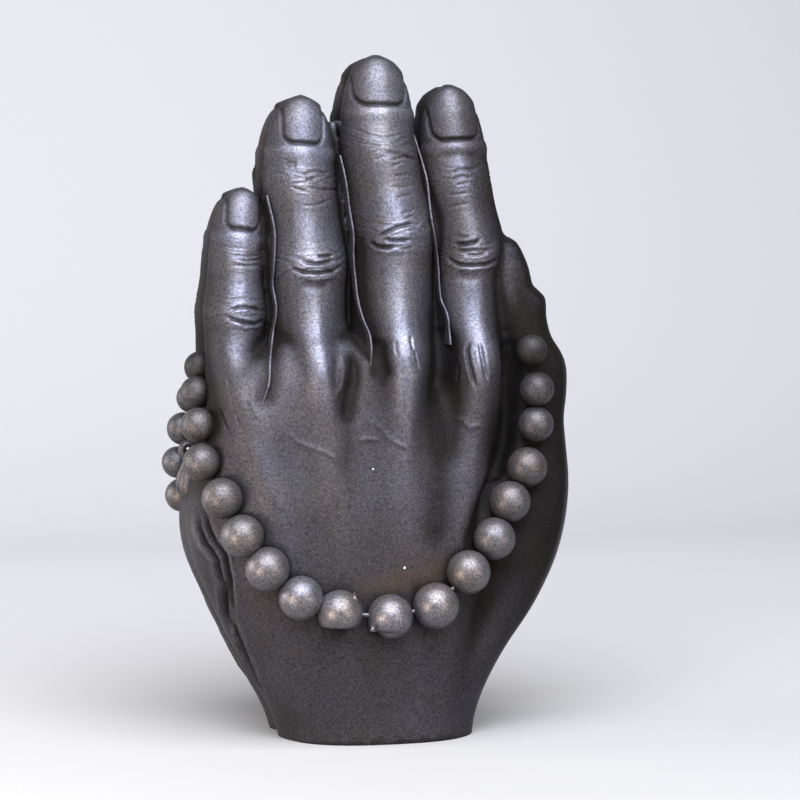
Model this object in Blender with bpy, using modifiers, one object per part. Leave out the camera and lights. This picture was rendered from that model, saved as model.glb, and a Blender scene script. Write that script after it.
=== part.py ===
"""Praying hands statue: two hands held palm to palm with a string of beads draped round them.

The whole figure is one solid casting, cut flat across the wrists so that it stands. X runs
from the little fingers to the thumbs, Y from the near hand to the far hand, and Z up the
fingers. The palms meet at y = 0, and the far hand mirrors the near one.
"""

import math
from typing import NamedTuple

import bmesh
import bpy
import numpy as np
from mathutils import Matrix, Vector
from mathutils.bvhtree import BVHTree

MM = 0.001

# The paint
GRAPHITE = (0.045, 0.045, 0.052, 1.0)
GRAPHITE_METALLIC = 0.55
GRAPHITE_ROUGHNESS = 0.42

# Clay: how finely the forms are fused, how many faces the near hand keeps, and how far the
# palms are pressed together
FUSE_VOXEL = 0.45 * MM
HAND_FACES = 3500
PALM_PRESS = 0.7 * MM

# The level cut under the wrists, the side of the block that makes it, and how near to the
# seam a point has to be to lie on it
BASE_HEIGHT = 2.0 * MM
CUTTER_SIDE = 100 * MM
MIRROR_THRESHOLD = 0.000001

# Sections of the forms: points round each one, and the step from one to the next
LIMB_SEGMENTS = 28
RING_SPACING = 1.4 * MM

# How square the sections of each kind of form are: 2 is an oval, and more is fuller
BODY_SQUARENESS = 2.6
FINGER_SQUARENESS = 2.3
THUMB_SQUARENESS = 2.2
OVAL = 2.0

# Fingers: the knuckle's place, then three bones with the lean of each towards the thumb


class Finger(NamedTuple):
    name: str
    knuckle: tuple
    bones: tuple
    leans: tuple
    width: float
    depth: float
    knuckle_depth: float
    back_depth: float
    root: tuple
    nail: tuple


LITTLE = Finger(
    name="little",
    knuckle=(-25.4, 62.5),
    bones=(16.2, 9.9, 12.3),
    leans=(0.5, 3, 7),
    width=11.4,
    depth=11.0,
    knuckle_depth=14.4,
    back_depth=15.6,
    root=(-10.0, 4.0),
    nail=(6.0, 7.4),
)
RING = Finger(
    name="ring",
    knuckle=(-12.2, 68.4),
    bones=(18.8, 15.2, 15.0),
    leans=(-1, -4, 3),
    width=14.6,
    depth=12.8,
    knuckle_depth=17.0,
    back_depth=18.9,
    root=(-4.0, 0.0),
    nail=(7.4, 8.6),
)
MIDDLE = Finger(
    name="middle",
    knuckle=(3.0, 71.2),
    bones=(21.4, 15.8, 16.6),
    leans=(1, -9, 0),
    width=15.4,
    depth=13.6,
    knuckle_depth=17.8,
    back_depth=20.2,
    root=(2.0, 0.0),
    nail=(10.0, 9.0),
)
INDEX = Finger(
    name="index",
    knuckle=(17.4, 68.8),
    bones=(20.2, 14.0, 17.0),
    leans=(1, -9, -4),
    width=14.0,
    depth=13.0,
    knuckle_depth=17.0,
    back_depth=19.0,
    root=(8.5, 2.0),
    nail=(9.3, 10.0),
)
FINGERS = (LITTLE, RING, MIDDLE, INDEX)

# Share of a finger's width and depth along it: 0 is the knuckle, 1 the middle joint,
# 2 the end joint and 3 the tip, and -1 is the wrist end of the metacarpal
FINGER_PROFILE = (
    (-1.00, 0.60, None),
    (-0.50, 0.72, None),
    (-0.20, 0.90, None),
    (0.00, 0.98, None),
    (0.22, 0.99, 1.14),
    (0.55, 0.97, 1.00),
    (0.80, 0.99, 0.97),
    (1.00, 1.03, 1.00),
    (1.25, 0.99, 0.94),
    (1.60, 0.93, 0.86),
    (1.85, 0.92, 0.84),
    (2.00, 0.92, 0.81),
    (2.25, 0.88, 0.74),
    (2.40, 0.86, 0.70),
)
WRIST_DEPTH = 16.0 * MM
METACARPAL_MIDDLE = -0.45

# The dome that closes a finger: its length, how far back it leans, how full it is, and the
# shares of the last section's width and depth that it starts with
TIP_LENGTH = 10.0 * MM
TIP_RAKE = 1.3 * MM
TIP_FULLNESS = 2.0
TIP_WIDTH = 0.97
TIP_DEPTH = 0.94
TIP_STEPS = (0.25, 0.5, 0.7, 0.85, 0.95, 0.995)
MOST_OF_END = 0.98

# The clefts between fingers are closed from one height to another by a thin skin, on a
# thicker one at the seam: half width, and how far out it reaches as a share of the fingers
CLEFTS = ((52.0, 98.0), (58.0, 113.0), (58.0, 102.0))
CLEFT_SKINS = ((0.45 * MM, 0.74), (2.8 * MM, 0.20))
CLEFT_STEPS = 12

# Softening of the clay: rounds for the fingers and for the palm at one voxel, and where the
# palm's begins and is full: up the hand, across to the thumb, and up the thumb's root
FINGER_ROUNDS = 5
FINGER_WEIGHT = 0.5
SOFTEN_ROUNDS = 60
SOFTEN_WEIGHT = 0.6
SOFTEN_VOXEL = 0.45 * MM
PALM_TOP = (74, 54)
PALM_SIDE = (27, 22)
THUMB_ROOT_TOP = (50, 34)

# Relief of the skin, in millimetres. The nails: how far the plate stands up, the groove and
# the fold of skin round it, how wide they are, its corners and its free end
NAIL_RISE = 0.15
NAIL_SLOPE = 0.8
NAIL_GROOVE = 0.55
NAIL_GROOVE_WIDTH = 0.42
NAIL_FOLD = 0.30
NAIL_FOLD_WIDTH = 0.7
NAIL_FOLD_PLACE = 1.1
NAIL_CORNER = 0.45
NAIL_TAPER = 0.05
NAIL_FREE_END = (0.6, 2.2)

# The creases over a finger's middle joint and end joint: foot and arch of each one, and the
# share of the finger that they reach across
JOINT_FOLDS = ((-0.2, 1.7), (0.2, -1.9), (0.0, 0.4))
JOINT_REACH = 0.36
END_FOLDS = ((-1.0, -0.4), (0.2, 0.1), (1.4, 0.4))
END_REACH = 0.30
END_SHARE = 0.6
FOLD_DEPTH = 0.42
FOLD_FADE = 0.6
JOINT_FOLD_WIDTH = 0.5
END_FOLD_WIDTH = 0.4
FOLD_SWELL = 0.35
FOLD_SWELL_WIDTH = 1.5

# The back of the hand: tendons and knuckles, and the heights where they begin and are full
TENDON_RISE = 0.55
TENDON_WIDTH = 2.3
TENDON_FOOT = (26, 50)
KNUCKLE_RISE = 0.6
KNUCKLE_WIDTH = 4.2
KNUCKLE_HEIGHT = 5.5
BACK_TOP = (78, 70)
FINGER_START = 3

# Only skin that looks away from the seam carries relief, and none beyond the thumb's edge
LOOKS_OUT = (0.25, -0.25)
RELIEF_SIDE = (27.5, 26.0)

# The near hand's string of beads, from the cleft of the thumb round to the little finger's
# side: each bead's place, which is then drawn on to the skin, and its radius
BEADS = (
    (27.3, -10.0, 71.8, 2.8),
    (28.2, -11.5, 64.8, 3.1),
    (28.1, -13.0, 58.4, 3.2),
    (26.2, -15.5, 50.7, 3.6),
    (22.5, -18.5, 44.7, 3.7),
    (19.1, -20.5, 38.3, 3.8),
    (13.8, -22.0, 32.7, 3.9),
    (7.6, -22.6, 27.0, 4.1),
    (-0.8, -22.8, 25.4, 4.0),
    (-9.8, -22.4, 26.4, 4.0),
    (-16.6, -21.0, 29.1, 3.9),
    (-22.3, -18.5, 34.2, 3.9),
    (-26.5, -15.5, 39.9, 3.8),
    (-29.6, -13.0, 46.4, 3.6),
    (-32.1, -10.5, 52.4, 3.3),
    (-32.7, -8.5, 58.8, 3.1),
    (-32.2, -4.2, 64.4, 2.9),
)

# The far hand's string mirrors it, but its last beads lie lower and nearer the seam
MIRRORED_BEADS = 13
FAR_STRAND = (
    (-32.2, -12.2, 44.6, 3.1),
    (-33.4, -8.0, 51.0, 2.9),
    (-33.4, -5.6, 57.4, 3.0),
    (-31.9, -3.6, 63.0, 2.7),
)
BEAD_PROUD = 0.6
BEAD_SEGMENTS = 10
BEAD_RINGS = 7

# A bead nearer to the seam than this hangs where it is placed
FREE_NEAR_SEAM = 5.0

# Where the strands meet over the seam: the bead there, then the pendant that hangs below
CROSSING_BEAD = (-30.8, 0.0, 68.7, 2.9)
PENDANT_BEAD = (-33.0, -0.2, 53.8, 1.9)
PENDANT_HOLE_RADIUS = 0.55 * MM
PENDANT_HOLE_MIDDLE = 2.6 * MM
PENDANT_DRILL_LENGTH = 3.0 * MM
SMALL_SEGMENTS = 10
PENDANT_CORD = (
    (-29.6, 0.0, 67.5, 0.8, 0.7, 6.0),
    (-31.4, 0.0, 62.0, 0.8, 0.7, 6.0),
    (-32.0, 0.0, 56.0, 0.8, 0.7, 6.0),
    (-32.2, 0.0, 52.0, 0.8, 0.7, 5.0),
)
PENDANT_DROP = (
    (-32.8, -0.6, 53.2, 0.6, 0.6, 1.2),
    (-33.2, -1.3, 51.0, 0.9, 0.9, 1.4),
    (-33.5, -1.9, 49.0, 1.4, 1.4, 1.8),
    (-33.5, -2.2, 47.4, 1.7, 1.6, 2.0),
    (-33.2, -2.3, 46.0, 1.4, 1.3, 1.8),
    (-32.8, -2.3, 45.1, 0.6, 0.6, 1.2),
)


def smooth_rows(rows, spacing):
    """Rows of numbers, re-read along a smooth curve through them at about this spacing.

    The first three numbers of a row are its place.
    """
    rows = np.asarray(rows, float)
    gaps = np.linalg.norm(np.diff(rows[:, :3], axis=0), axis=1)
    at = np.concatenate([[0.0], np.cumsum(gaps)])
    slopes = np.gradient(rows, at, axis=0)
    count = max(4, round(at[-1] / spacing))
    wanted = np.linspace(0.0, at[-1], count + 1)
    span = np.clip(np.searchsorted(at, wanted, side="right") - 1, 0, len(at) - 2)
    width = (at[span + 1] - at[span])[:, None]
    t = (wanted - at[span])[:, None] / width
    return (
        (2 * t**3 - 3 * t**2 + 1) * rows[span]
        + (t**3 - 2 * t**2 + t) * width * slopes[span]
        + (3 * t**2 - 2 * t**3) * rows[span + 1]
        + (t**3 - t**2) * width * slopes[span + 1]
    )


def rounded_ring(half_width, outer, inner, squareness, count):
    """A rounded section: (across, facing) for each point, fuller than an oval."""
    angles = np.arange(count) * 2 * math.pi / count
    power = 2.0 / squareness
    across = np.sign(np.cos(angles)) * np.abs(np.cos(angles)) ** power * half_width
    rise = np.sign(np.sin(angles)) * np.abs(np.sin(angles)) ** power
    return across, np.where(rise > 0, rise * outer, rise * inner)


def limb(name, rows, facing, squareness=FINGER_SQUARENESS, points=LIMB_SEGMENTS):
    """A rounded limb through rows of (x, y, z, half width, outer depth, inner depth).

    facing is the way its back looks: the outer depth is measured that way.
    """
    rows = smooth_rows(rows, RING_SPACING)
    facing = Vector(facing).normalized()
    mesh = bmesh.new()
    rings = []
    for index, row in enumerate(rows):
        ahead = rows[min(index + 1, len(rows) - 1)][:3]
        behind = rows[max(index - 1, 0)][:3]
        along = Vector(ahead - behind).normalized()
        side = along.cross(facing).normalized()
        front = side.cross(along).normalized()
        across, rise = rounded_ring(row[3], row[4], row[5], squareness, points)
        centre = Vector(row[:3])
        rings.append(
            [mesh.verts.new(centre + side * a + front * r) for a, r in zip(across, rise)]
        )
    for low, high in zip(rings, rings[1:]):
        for i in range(points):
            j = (i + 1) % points
            mesh.faces.new((low[i], low[j], high[j], high[i]))
    mesh.faces.new(rings[0])
    mesh.faces.new(rings[-1])
    bmesh.ops.recalc_face_normals(mesh, faces=mesh.faces)
    data = bpy.data.meshes.new(name)
    mesh.to_mesh(data)
    mesh.free()
    return data


def tip_rows(end, along, half_width, depth, length):
    """Rows that close a limb with a dome of this length, starting where its body ends."""
    rows = []
    for share in TIP_STEPS:
        swell = (1 - share**TIP_FULLNESS) ** (1 / TIP_FULLNESS)
        place = end + along * length * share
        rows.append((place, half_width * swell, depth * swell, share))
    return rows


def finger_joints(finger):
    """The points (x, z) of the metacarpal's root, the three joints and the tip."""
    points = [np.array(finger.root), np.array(finger.knuckle)]
    for bone, lean in zip(finger.bones, finger.leans):
        lean = math.radians(lean)
        points.append(points[-1] + bone * np.array([math.sin(lean), math.cos(lean)]))
    return [point * MM for point in points]


def finger_rows(finger):
    """The limb's rows from the wrist end of the metacarpal to the finger's tip."""
    joints = finger_joints(finger)
    width = finger.width * MM / 2
    knuckle_depth = finger.knuckle_depth * MM
    back_depth = finger.back_depth * MM
    depth = finger.depth * MM
    stations = []
    for where, width_share, depth_share in FINGER_PROFILE:
        bone = min(int(math.floor(where)) + 1, 3)
        place = joints[bone] + (joints[bone + 1] - joints[bone]) * (where + 1 - bone)
        if depth_share is None:
            deep = np.interp(where, (-1, METACARPAL_MIDDLE, 0), (WRIST_DEPTH, back_depth, knuckle_depth))
        else:
            deep = depth * depth_share
        stations.append((place, width * width_share, deep))
    last, tip = stations[-1][0], joints[-1]
    along = (tip - last) / np.linalg.norm(tip - last)
    dome = min(TIP_LENGTH, float(np.linalg.norm(tip - last)) * MOST_OF_END)
    start = tip - along * dome
    rows = []
    for place, half_width, deep in stations:
        rows.append((place[0], PALM_PRESS - deep / 2, place[1], half_width, deep / 2, deep / 2))
    half_width = stations[-1][1] * TIP_WIDTH
    deep = stations[-1][2] * TIP_DEPTH
    for place, wide, thick, share in tip_rows(start, along, half_width, deep / 2, dome):
        y = PALM_PRESS - deep / 2 + TIP_RAKE * share**2
        rows.append((place[0], y, place[1], wide, thick, thick))
    return rows


# How thick one hand is where it is thickest, from the seam to the skin of its back
HAND_THICKNESS = 20.0

# The body of the hand: z, little finger side, thumb side, share of the hand's thickness, and
# how far its widest part is from the seam
HAND_BODY = (
    (-10.0, -16.0, 18.4, 0.90, 2.6),
    (0.0, -16.2, 18.6, 0.90, 2.6),
    (4.0, -17.2, 18.8, 0.90, 2.8),
    (9.0, -19.0, 19.2, 0.91, 3.2),
    (18.0, -23.6, 20.9, 0.94, 4.6),
    (28.0, -28.2, 23.2, 0.98, 5.0),
    (38.0, -31.2, 24.6, 1.00, 6.0),
    (47.0, -32.2, 25.4, 0.99, 7.0),
    (55.0, -31.0, 25.2, 0.92, 7.5),
    (61.0, -25.6, 24.4, 0.85, 7.0),
    (65.0, -18.0, 21.0, 0.76, 6.4),
    (67.5, -10.0, 16.0, 0.57, 5.4),
)


def hand_body_rows():
    rows = []
    for z, left, right, thickness, waist in HAND_BODY:
        centre = ((left + right) / 2, PALM_PRESS / MM - waist, z)
        depth = HAND_THICKNESS * thickness - waist
        rows.append(centre + ((right - left) / 2, depth, waist))
    return scaled(rows)


# Thumb along the index finger's side: place, half width, outer and inner depth
THUMB = (
    (11.6, -7.5, 3.0, 6.4, 5.6, 6.0),
    (14.2, -7.5, 12.0, 6.8, 6.0, 6.0),
    (18.2, -7.5, 20.0, 7.4, 6.2, 7.0),
    (24.2, -7.4, 29.0, 7.6, 6.4, 8.0),
    (28.2, -7.0, 38.0, 7.0, 6.7, 8.0),
    (29.6, -6.4, 47.0, 6.5, 6.7, 7.0),
    (29.5, -6.0, 54.0, 6.0, 6.4, 6.0),
    (29.2, -6.0, 59.0, 5.8, 6.3, 6.0),
    (29.2, -6.0, 64.0, 6.0, 6.8, 6.0),
    (29.0, -6.0, 68.5, 6.1, 6.8, 6.0),
    (28.0, -6.0, 73.0, 5.9, 5.1, 6.0),
    (27.2, -5.9, 77.0, 5.8, 4.9, 5.8),
    (26.5, -5.8, 80.0, 5.7, 5.5, 5.6),
    (25.8, -5.7, 82.2, 5.6, 3.8, 5.4),
    (25.2, -5.6, 84.4, 5.4, 4.0, 5.2),
    (24.2, -5.2, 88.0, 4.8, 3.8, 4.6),
    (23.6, -4.9, 90.6, 3.8, 3.0, 3.6),
    (23.2, -4.7, 91.8, 2.0, 1.8, 2.0),
)

# The pad on the little finger's side of the palm, squeezed out at the seam
HEEL_PAD = (
    (-15.0, -4.2, -8.0, 3.4, 2.0, 3.0),
    (-15.4, -4.2, 2.0, 3.4, 2.2, 3.0),
    (-18.0, -4.2, 10.0, 3.8, 2.4, 3.0),
    (-22.6, -4.2, 20.0, 4.6, 3.8, 4.0),
    (-26.4, -4.2, 29.0, 5.0, 4.2, 5.0),
    (-29.4, -4.2, 38.0, 5.2, 4.7, 5.0),
    (-29.6, -4.2, 46.0, 5.2, 4.4, 5.0),
    (-28.4, -3.9, 54.0, 5.2, 3.6, 4.0),
    (-27.4, -3.6, 61.0, 5.2, 3.2, 5.0),
    (-26.6, -3.4, 67.0, 5.0, 2.8, 6.0),
    (-25.6, -3.2, 71.0, 4.4, 2.4, 6.0),
)

# The web of skin between the thumb and the index finger, at the bottom of the bead groove
THUMB_WEB = (
    (20.0, -6.6, 22.0, 5.4, 6.0, 6.0),
    (23.0, -6.6, 34.0, 6.2, 6.4, 6.0),
    (25.0, -6.4, 46.0, 6.2, 5.6, 6.0),
    (25.4, -6.0, 58.0, 5.8, 5.0, 6.0),
    (25.2, -5.6, 70.0, 5.2, 4.4, 5.0),
    (24.0, -5.2, 80.0, 4.4, 3.6, 5.0),
)


def scaled(rows):
    return [tuple(value * MM for value in row) for row in rows]


def finger_at(rows, height):
    """A finger's middle, half width and whole depth at a height up the hand."""
    rows = np.asarray(rows)
    heights = rows[:, 2]
    middle = np.interp(height, heights, rows[:, 0])
    half_width = np.interp(height, heights, rows[:, 3])
    depth = np.interp(height, heights, rows[:, 4] + rows[:, 5])
    return middle, half_width, depth


def cleft_rows(near, far, low, high, half_width, reach):
    """Clay in the cleft between two fingers, from the seam out to a share of their depth."""
    rows = []
    for height in np.linspace(low, high, CLEFT_STEPS) * MM:
        middle_a, half_a, depth_a = finger_at(near, height)
        middle_b, half_b, depth_b = finger_at(far, height)
        x = (middle_a + half_a + middle_b - half_b) / 2
        depth = reach * min(depth_a, depth_b)
        rows.append((x, 0.0, height, half_width, depth, PALM_PRESS))
    return rows


def joined(name, meshes, collection):
    """One object that holds all these meshes."""
    whole = bmesh.new()
    for data in meshes:
        whole.from_mesh(data)
        bpy.data.meshes.remove(data)
    data = bpy.data.meshes.new(name)
    whole.to_mesh(data)
    whole.free()
    obj = bpy.data.objects.new(name, data)
    collection.objects.link(obj)
    return obj


def apply_modifiers(obj):
    """Replaces the object's mesh by what its modifiers make of it."""
    graph = bpy.context.evaluated_depsgraph_get()
    data = bpy.data.meshes.new_from_object(obj.evaluated_get(graph))
    obj.modifiers.clear()
    obj.data = data


def fuse(obj, voxel):
    remesh = obj.modifiers.new("Fuse", "REMESH")
    remesh.mode = "VOXEL"
    remesh.voxel_size = voxel
    remesh.adaptivity = 0.0
    apply_modifiers(obj)


def read_vectors(items, field):
    values = np.empty(len(items) * 3)
    items.foreach_get(field, values)
    return values.reshape(-1, 3)


def relax(points, edges, rounds, weight):
    """Draws each point towards the middle of its neighbours, by its weight."""
    count = len(points)
    ends = np.concatenate([edges, edges[:, ::-1]])
    valence = np.bincount(ends[:, 0], minlength=count)[:, None]
    for _ in range(rounds):
        total = np.stack(
            [np.bincount(ends[:, 0], points[ends[:, 1], k], count) for k in range(3)],
            axis=1,
        )
        points = points + (total / valence - points) * weight[:, None]
    return points


def ramp(value, start, end):
    """0 up to start, 1 from end on, and smooth between; end may be the lower one."""
    t = np.clip((value - start) / (end - start), 0.0, 1.0)
    return t * t * (3 - 2 * t)


def bump(distance, width):
    return np.exp(-((distance / width) ** 2))


def soften(obj):
    """Smooths the clay: lightly on the fingers, and well where they run into the hand."""
    points = read_vectors(obj.data.vertices, "co")
    edges = np.empty(len(obj.data.edges) * 2, int)
    obj.data.edges.foreach_get("vertices", edges)
    edges = edges.reshape(-1, 2)
    x, height = points[:, 0] / MM, points[:, 2] / MM
    across = np.maximum(ramp(x, *PALM_SIDE), ramp(height, *THUMB_ROOT_TOP))
    palm = ramp(height, *PALM_TOP) * across
    rounds = round(SOFTEN_ROUNDS * (SOFTEN_VOXEL / FUSE_VOXEL) ** 2)
    points = relax(points, edges, FINGER_ROUNDS, np.full(len(points), FINGER_WEIGHT))
    points = relax(points, edges, rounds, SOFTEN_WEIGHT * palm)
    obj.data.vertices.foreach_set("co", points.ravel())
    obj.data.update()


def along_bone(points, start, end):
    """Distance from start along a bone, and to its thumb side, in millimetres."""
    along = (end - start) / np.linalg.norm(end - start)
    offset = points[:, [0, 2]] - start
    return offset @ along / MM, offset @ np.array([along[1], -along[0]]) / MM


def nail_relief(finger, points):
    """A nail set in its fold: raised plate, groove round it and swollen skin outside."""
    joints = finger_joints(finger)
    down, across = along_bone(points, joints[4], joints[3])
    across = -across
    half_width, length = finger.nail[0] / 2, finger.nail[1]
    corner = NAIL_CORNER * half_width
    beside = np.abs(across) - half_width * (1 - NAIL_TAPER * down / length) + corner
    below = down - length + corner
    outside = np.hypot(np.maximum(beside, 0), np.maximum(below, 0))
    edge = outside + np.minimum(np.maximum(beside, below), 0) - corner
    held = ramp(down, *NAIL_FREE_END)
    relief = NAIL_RISE * ramp(edge, 0.0, -NAIL_SLOPE)
    relief = relief - NAIL_GROOVE * bump(edge, NAIL_GROOVE_WIDTH) * held
    return relief + NAIL_FOLD * bump(edge - NAIL_FOLD_PLACE, NAIL_FOLD_WIDTH) * held


def crease_relief(up, across, half_width, rises, depth, width):
    """Arched creases across a joint: rises is each one's height at its middle."""
    fade = ramp(np.abs(across), half_width, half_width * FOLD_FADE)
    relief = np.zeros(len(up))
    for foot, rise in rises:
        arch = foot + rise * (1 - np.clip(np.abs(across) / half_width, 0, 1) ** 2)
        relief -= depth * bump(up - arch, width) * fade
    return relief, fade


def joint_relief(finger, points):
    """The folds of skin over the middle joint and the end joint."""
    joints = finger_joints(finger)
    up, across = along_bone(points, joints[2], joints[3])
    reach = finger.width * JOINT_REACH
    relief, fade = crease_relief(up, across, reach, JOINT_FOLDS, FOLD_DEPTH, JOINT_FOLD_WIDTH)
    relief += FOLD_SWELL * bump(up, FOLD_SWELL_WIDTH) * fade
    up, across = along_bone(points, joints[3], joints[4])
    reach = finger.width * END_REACH
    depth = FOLD_DEPTH * END_SHARE
    small, _ = crease_relief(up, across, reach, END_FOLDS, depth, END_FOLD_WIDTH)
    return relief + small


def back_relief(points):
    """Tendons that fan from the wrist to the knuckles, under the skin of the back."""
    relief = np.zeros(len(points))
    height = points[:, 2] / MM
    for finger in FINGERS:
        joints = finger_joints(finger)
        up, across = along_bone(points, joints[0], joints[1])
        relief += TENDON_RISE * bump(across, TENDON_WIDTH) * ramp(height, *TENDON_FOOT)
        above = height - finger.knuckle[1]
        relief += KNUCKLE_RISE * bump(across, KNUCKLE_WIDTH) * bump(above, KNUCKLE_HEIGHT)
    return relief * ramp(height, *BACK_TOP)


def carve(obj):
    """Moves the skin out and in for nails, folds, knuckles and tendons."""
    points = read_vectors(obj.data.vertices, "co")
    normals = read_vectors(obj.data.vertices, "normal")
    relief = back_relief(points)
    x = points[:, 0]
    nearest = np.full(len(points), np.inf)
    for finger in FINGERS:
        joints = finger_joints(finger)
        share = np.full(len(points), np.inf)
        for start, end in zip(joints[1:], joints[2:]):
            up, across = along_bone(points, start, end)
            beyond = np.maximum(np.maximum(-up, up - np.linalg.norm(end - start) / MM), 0)
            share = np.minimum(share, np.hypot(across, beyond) / finger.width)
        mine = (share < nearest) & (points[:, 2] > (finger.knuckle[1] + FINGER_START) * MM)
        nearest = np.minimum(nearest, share)
        finger_relief = nail_relief(finger, points) + joint_relief(finger, points)
        relief = np.where(mine, finger_relief + back_relief(points), relief)
    looks_out = ramp(normals[:, 1], *LOOKS_OUT) * ramp(x / MM, *RELIEF_SIDE)
    points = points + normals * (relief * looks_out * MM)[:, None]
    obj.data.vertices.foreach_set("co", points.ravel())
    obj.data.update()


def seat(surface, place, radius, proud):
    """Where a bead rests on the hand nearest to a place, kept level with that place."""
    ask = place
    for _ in range(4):
        touch, normal, _, _ = surface.find_nearest(ask)
        centre = touch + normal * radius * proud
        slip = Vector((place.x - centre.x, 0.0, place.z - centre.z))
        ask = touch + slip - normal * slip.dot(normal)
    return centre


def add_bead(string, place, radius):
    made = bmesh.ops.create_uvsphere(
        string, u_segments=BEAD_SEGMENTS, v_segments=BEAD_RINGS, radius=radius * MM
    )
    bmesh.ops.translate(string, vec=place, verts=made["verts"])


def bead_strings(surface):
    """One mesh of both hands' beads, of the bead where they meet and of the pendant."""
    string = bmesh.new()
    for beads, mirrored in ((BEADS, 1), (BEADS[:MIRRORED_BEADS] + FAR_STRAND, -1)):
        for x, y, z, radius in beads:
            place = Vector((x, y, z)) * MM
            if y < -FREE_NEAR_SEAM:
                place = seat(surface, place, radius * MM, BEAD_PROUD)
            place.y *= mirrored
            add_bead(string, place, radius)
    for x, y, z, radius in (CROSSING_BEAD, PENDANT_BEAD):
        add_bead(string, Vector((x, y, z)) * MM, radius)
    far_drop = [(x, -y, z, *sizes) for x, y, z, *sizes in PENDANT_DROP]
    for rows in (PENDANT_CORD, PENDANT_DROP, far_drop):
        data = limb("pendant", scaled(rows), (-1, 0, 0), OVAL, SMALL_SEGMENTS)
        string.from_mesh(data)
        bpy.data.meshes.remove(data)
    data = bpy.data.meshes.new("bead_strings")
    string.to_mesh(data)
    string.free()
    return bpy.data.objects.new("bead_strings", data)


def hide_helper(obj, collection):
    """Keeps a cutter or an added shape out of the finished figure."""
    for holder in list(obj.users_collection):
        holder.objects.unlink(obj)
    collection.objects.link(obj)
    obj.hide_render = True
    obj.display_type = "WIRE"


def combine(obj, other, operation):
    """Adds the other shape to the object, or cuts it away."""
    step = obj.modifiers.new(other.name, "BOOLEAN")
    step.operation = operation
    step.use_self = operation == "UNION"
    step.object = other


def near_hand(statue):
    """The near hand in clay: its forms fused, softened and carved."""
    forms = [limb("hand_body", hand_body_rows(), (0, -1, 0), BODY_SQUARENESS)]
    fingers = [finger_rows(finger) for finger in FINGERS]
    for finger, rows in zip(FINGERS, fingers):
        forms.append(limb(finger.name, rows, (0, -1, 0)))
    for near, far, span in zip(fingers, fingers[1:], CLEFTS):
        for half_width, reach in CLEFT_SKINS:
            rows = cleft_rows(near, far, *span, half_width, reach)
            forms.append(limb("cleft", rows, (0, -1, 0), BODY_SQUARENESS))
    forms.append(limb("thumb", scaled(THUMB), (1, 0, 0), THUMB_SQUARENESS))
    forms.append(limb("thumb_web", scaled(THUMB_WEB), (1, 0, 0), THUMB_SQUARENESS))
    forms.append(limb("heel_pad", scaled(HEEL_PAD), (-1, 0, 0), OVAL))
    hand = joined("praying_hands", forms, statue)
    fuse(hand, FUSE_VOXEL)
    soften(hand)
    carve(hand)
    return hand


def floor_cutter(cutters):
    """The block that cuts the wrists off level, as high as the base."""
    bpy.ops.mesh.primitive_cube_add(
        size=CUTTER_SIDE, location=(0, 0, BASE_HEIGHT - CUTTER_SIDE / 2)
    )
    floor = bpy.context.object
    floor.name = "flat_base"
    hide_helper(floor, cutters)
    return floor


def pendant_drill(cutters):
    """The cutter for the blind hole in the front of the pendant's bead."""
    x, y, z = (value * MM for value in PENDANT_BEAD[:3])
    bpy.ops.mesh.primitive_cylinder_add(
        vertices=SMALL_SEGMENTS,
        radius=PENDANT_HOLE_RADIUS,
        depth=PENDANT_DRILL_LENGTH,
        location=(x, y - PENDANT_HOLE_MIDDLE, z),
        rotation=(math.pi / 2, 0, 0),
    )
    drill = bpy.context.object
    drill.name = "pendant_hole"
    hide_helper(drill, cutters)
    return drill


def add_far_hand(hand):
    """Mirrors the near hand across the seam, where both are cut off flat."""
    mirror = hand.modifiers.new("Far hand", "MIRROR")
    mirror.use_axis = (False, True, False)
    mirror.use_bisect_axis = (False, True, False)
    mirror.use_bisect_flip_axis = (False, True, False)
    mirror.bisect_threshold = MIRROR_THRESHOLD
    mirror.merge_threshold = MIRROR_THRESHOLD


def fill_hollows(obj):
    """Makes the casting solid: of its skins, only the outer one stays."""
    mesh = bmesh.new()
    mesh.from_mesh(obj.data)
    skins, seen = [], set()
    for first in mesh.verts:
        if first in seen:
            continue
        skin, waiting = [], [first]
        seen.add(first)
        while waiting:
            point = waiting.pop()
            skin.append(point)
            for edge in point.link_edges:
                other = edge.other_vert(point)
                if other not in seen:
                    seen.add(other)
                    waiting.append(other)
        skins.append(skin)
    skins.sort(key=len)
    for skin in skins[:-1]:
        bmesh.ops.delete(mesh, geom=skin, context="VERTS")
    mesh.to_mesh(obj.data)
    mesh.free()


def coat(obj):
    """Graphite paint over the casting."""
    paint = bpy.data.materials.new("graphite_cast")
    paint.use_nodes = True
    shader = paint.node_tree.nodes["Principled BSDF"]
    shader.inputs["Base Color"].default_value = GRAPHITE
    shader.inputs["Metallic"].default_value = GRAPHITE_METALLIC
    shader.inputs["Roughness"].default_value = GRAPHITE_ROUGHNESS
    obj.data.materials.append(paint)


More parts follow.
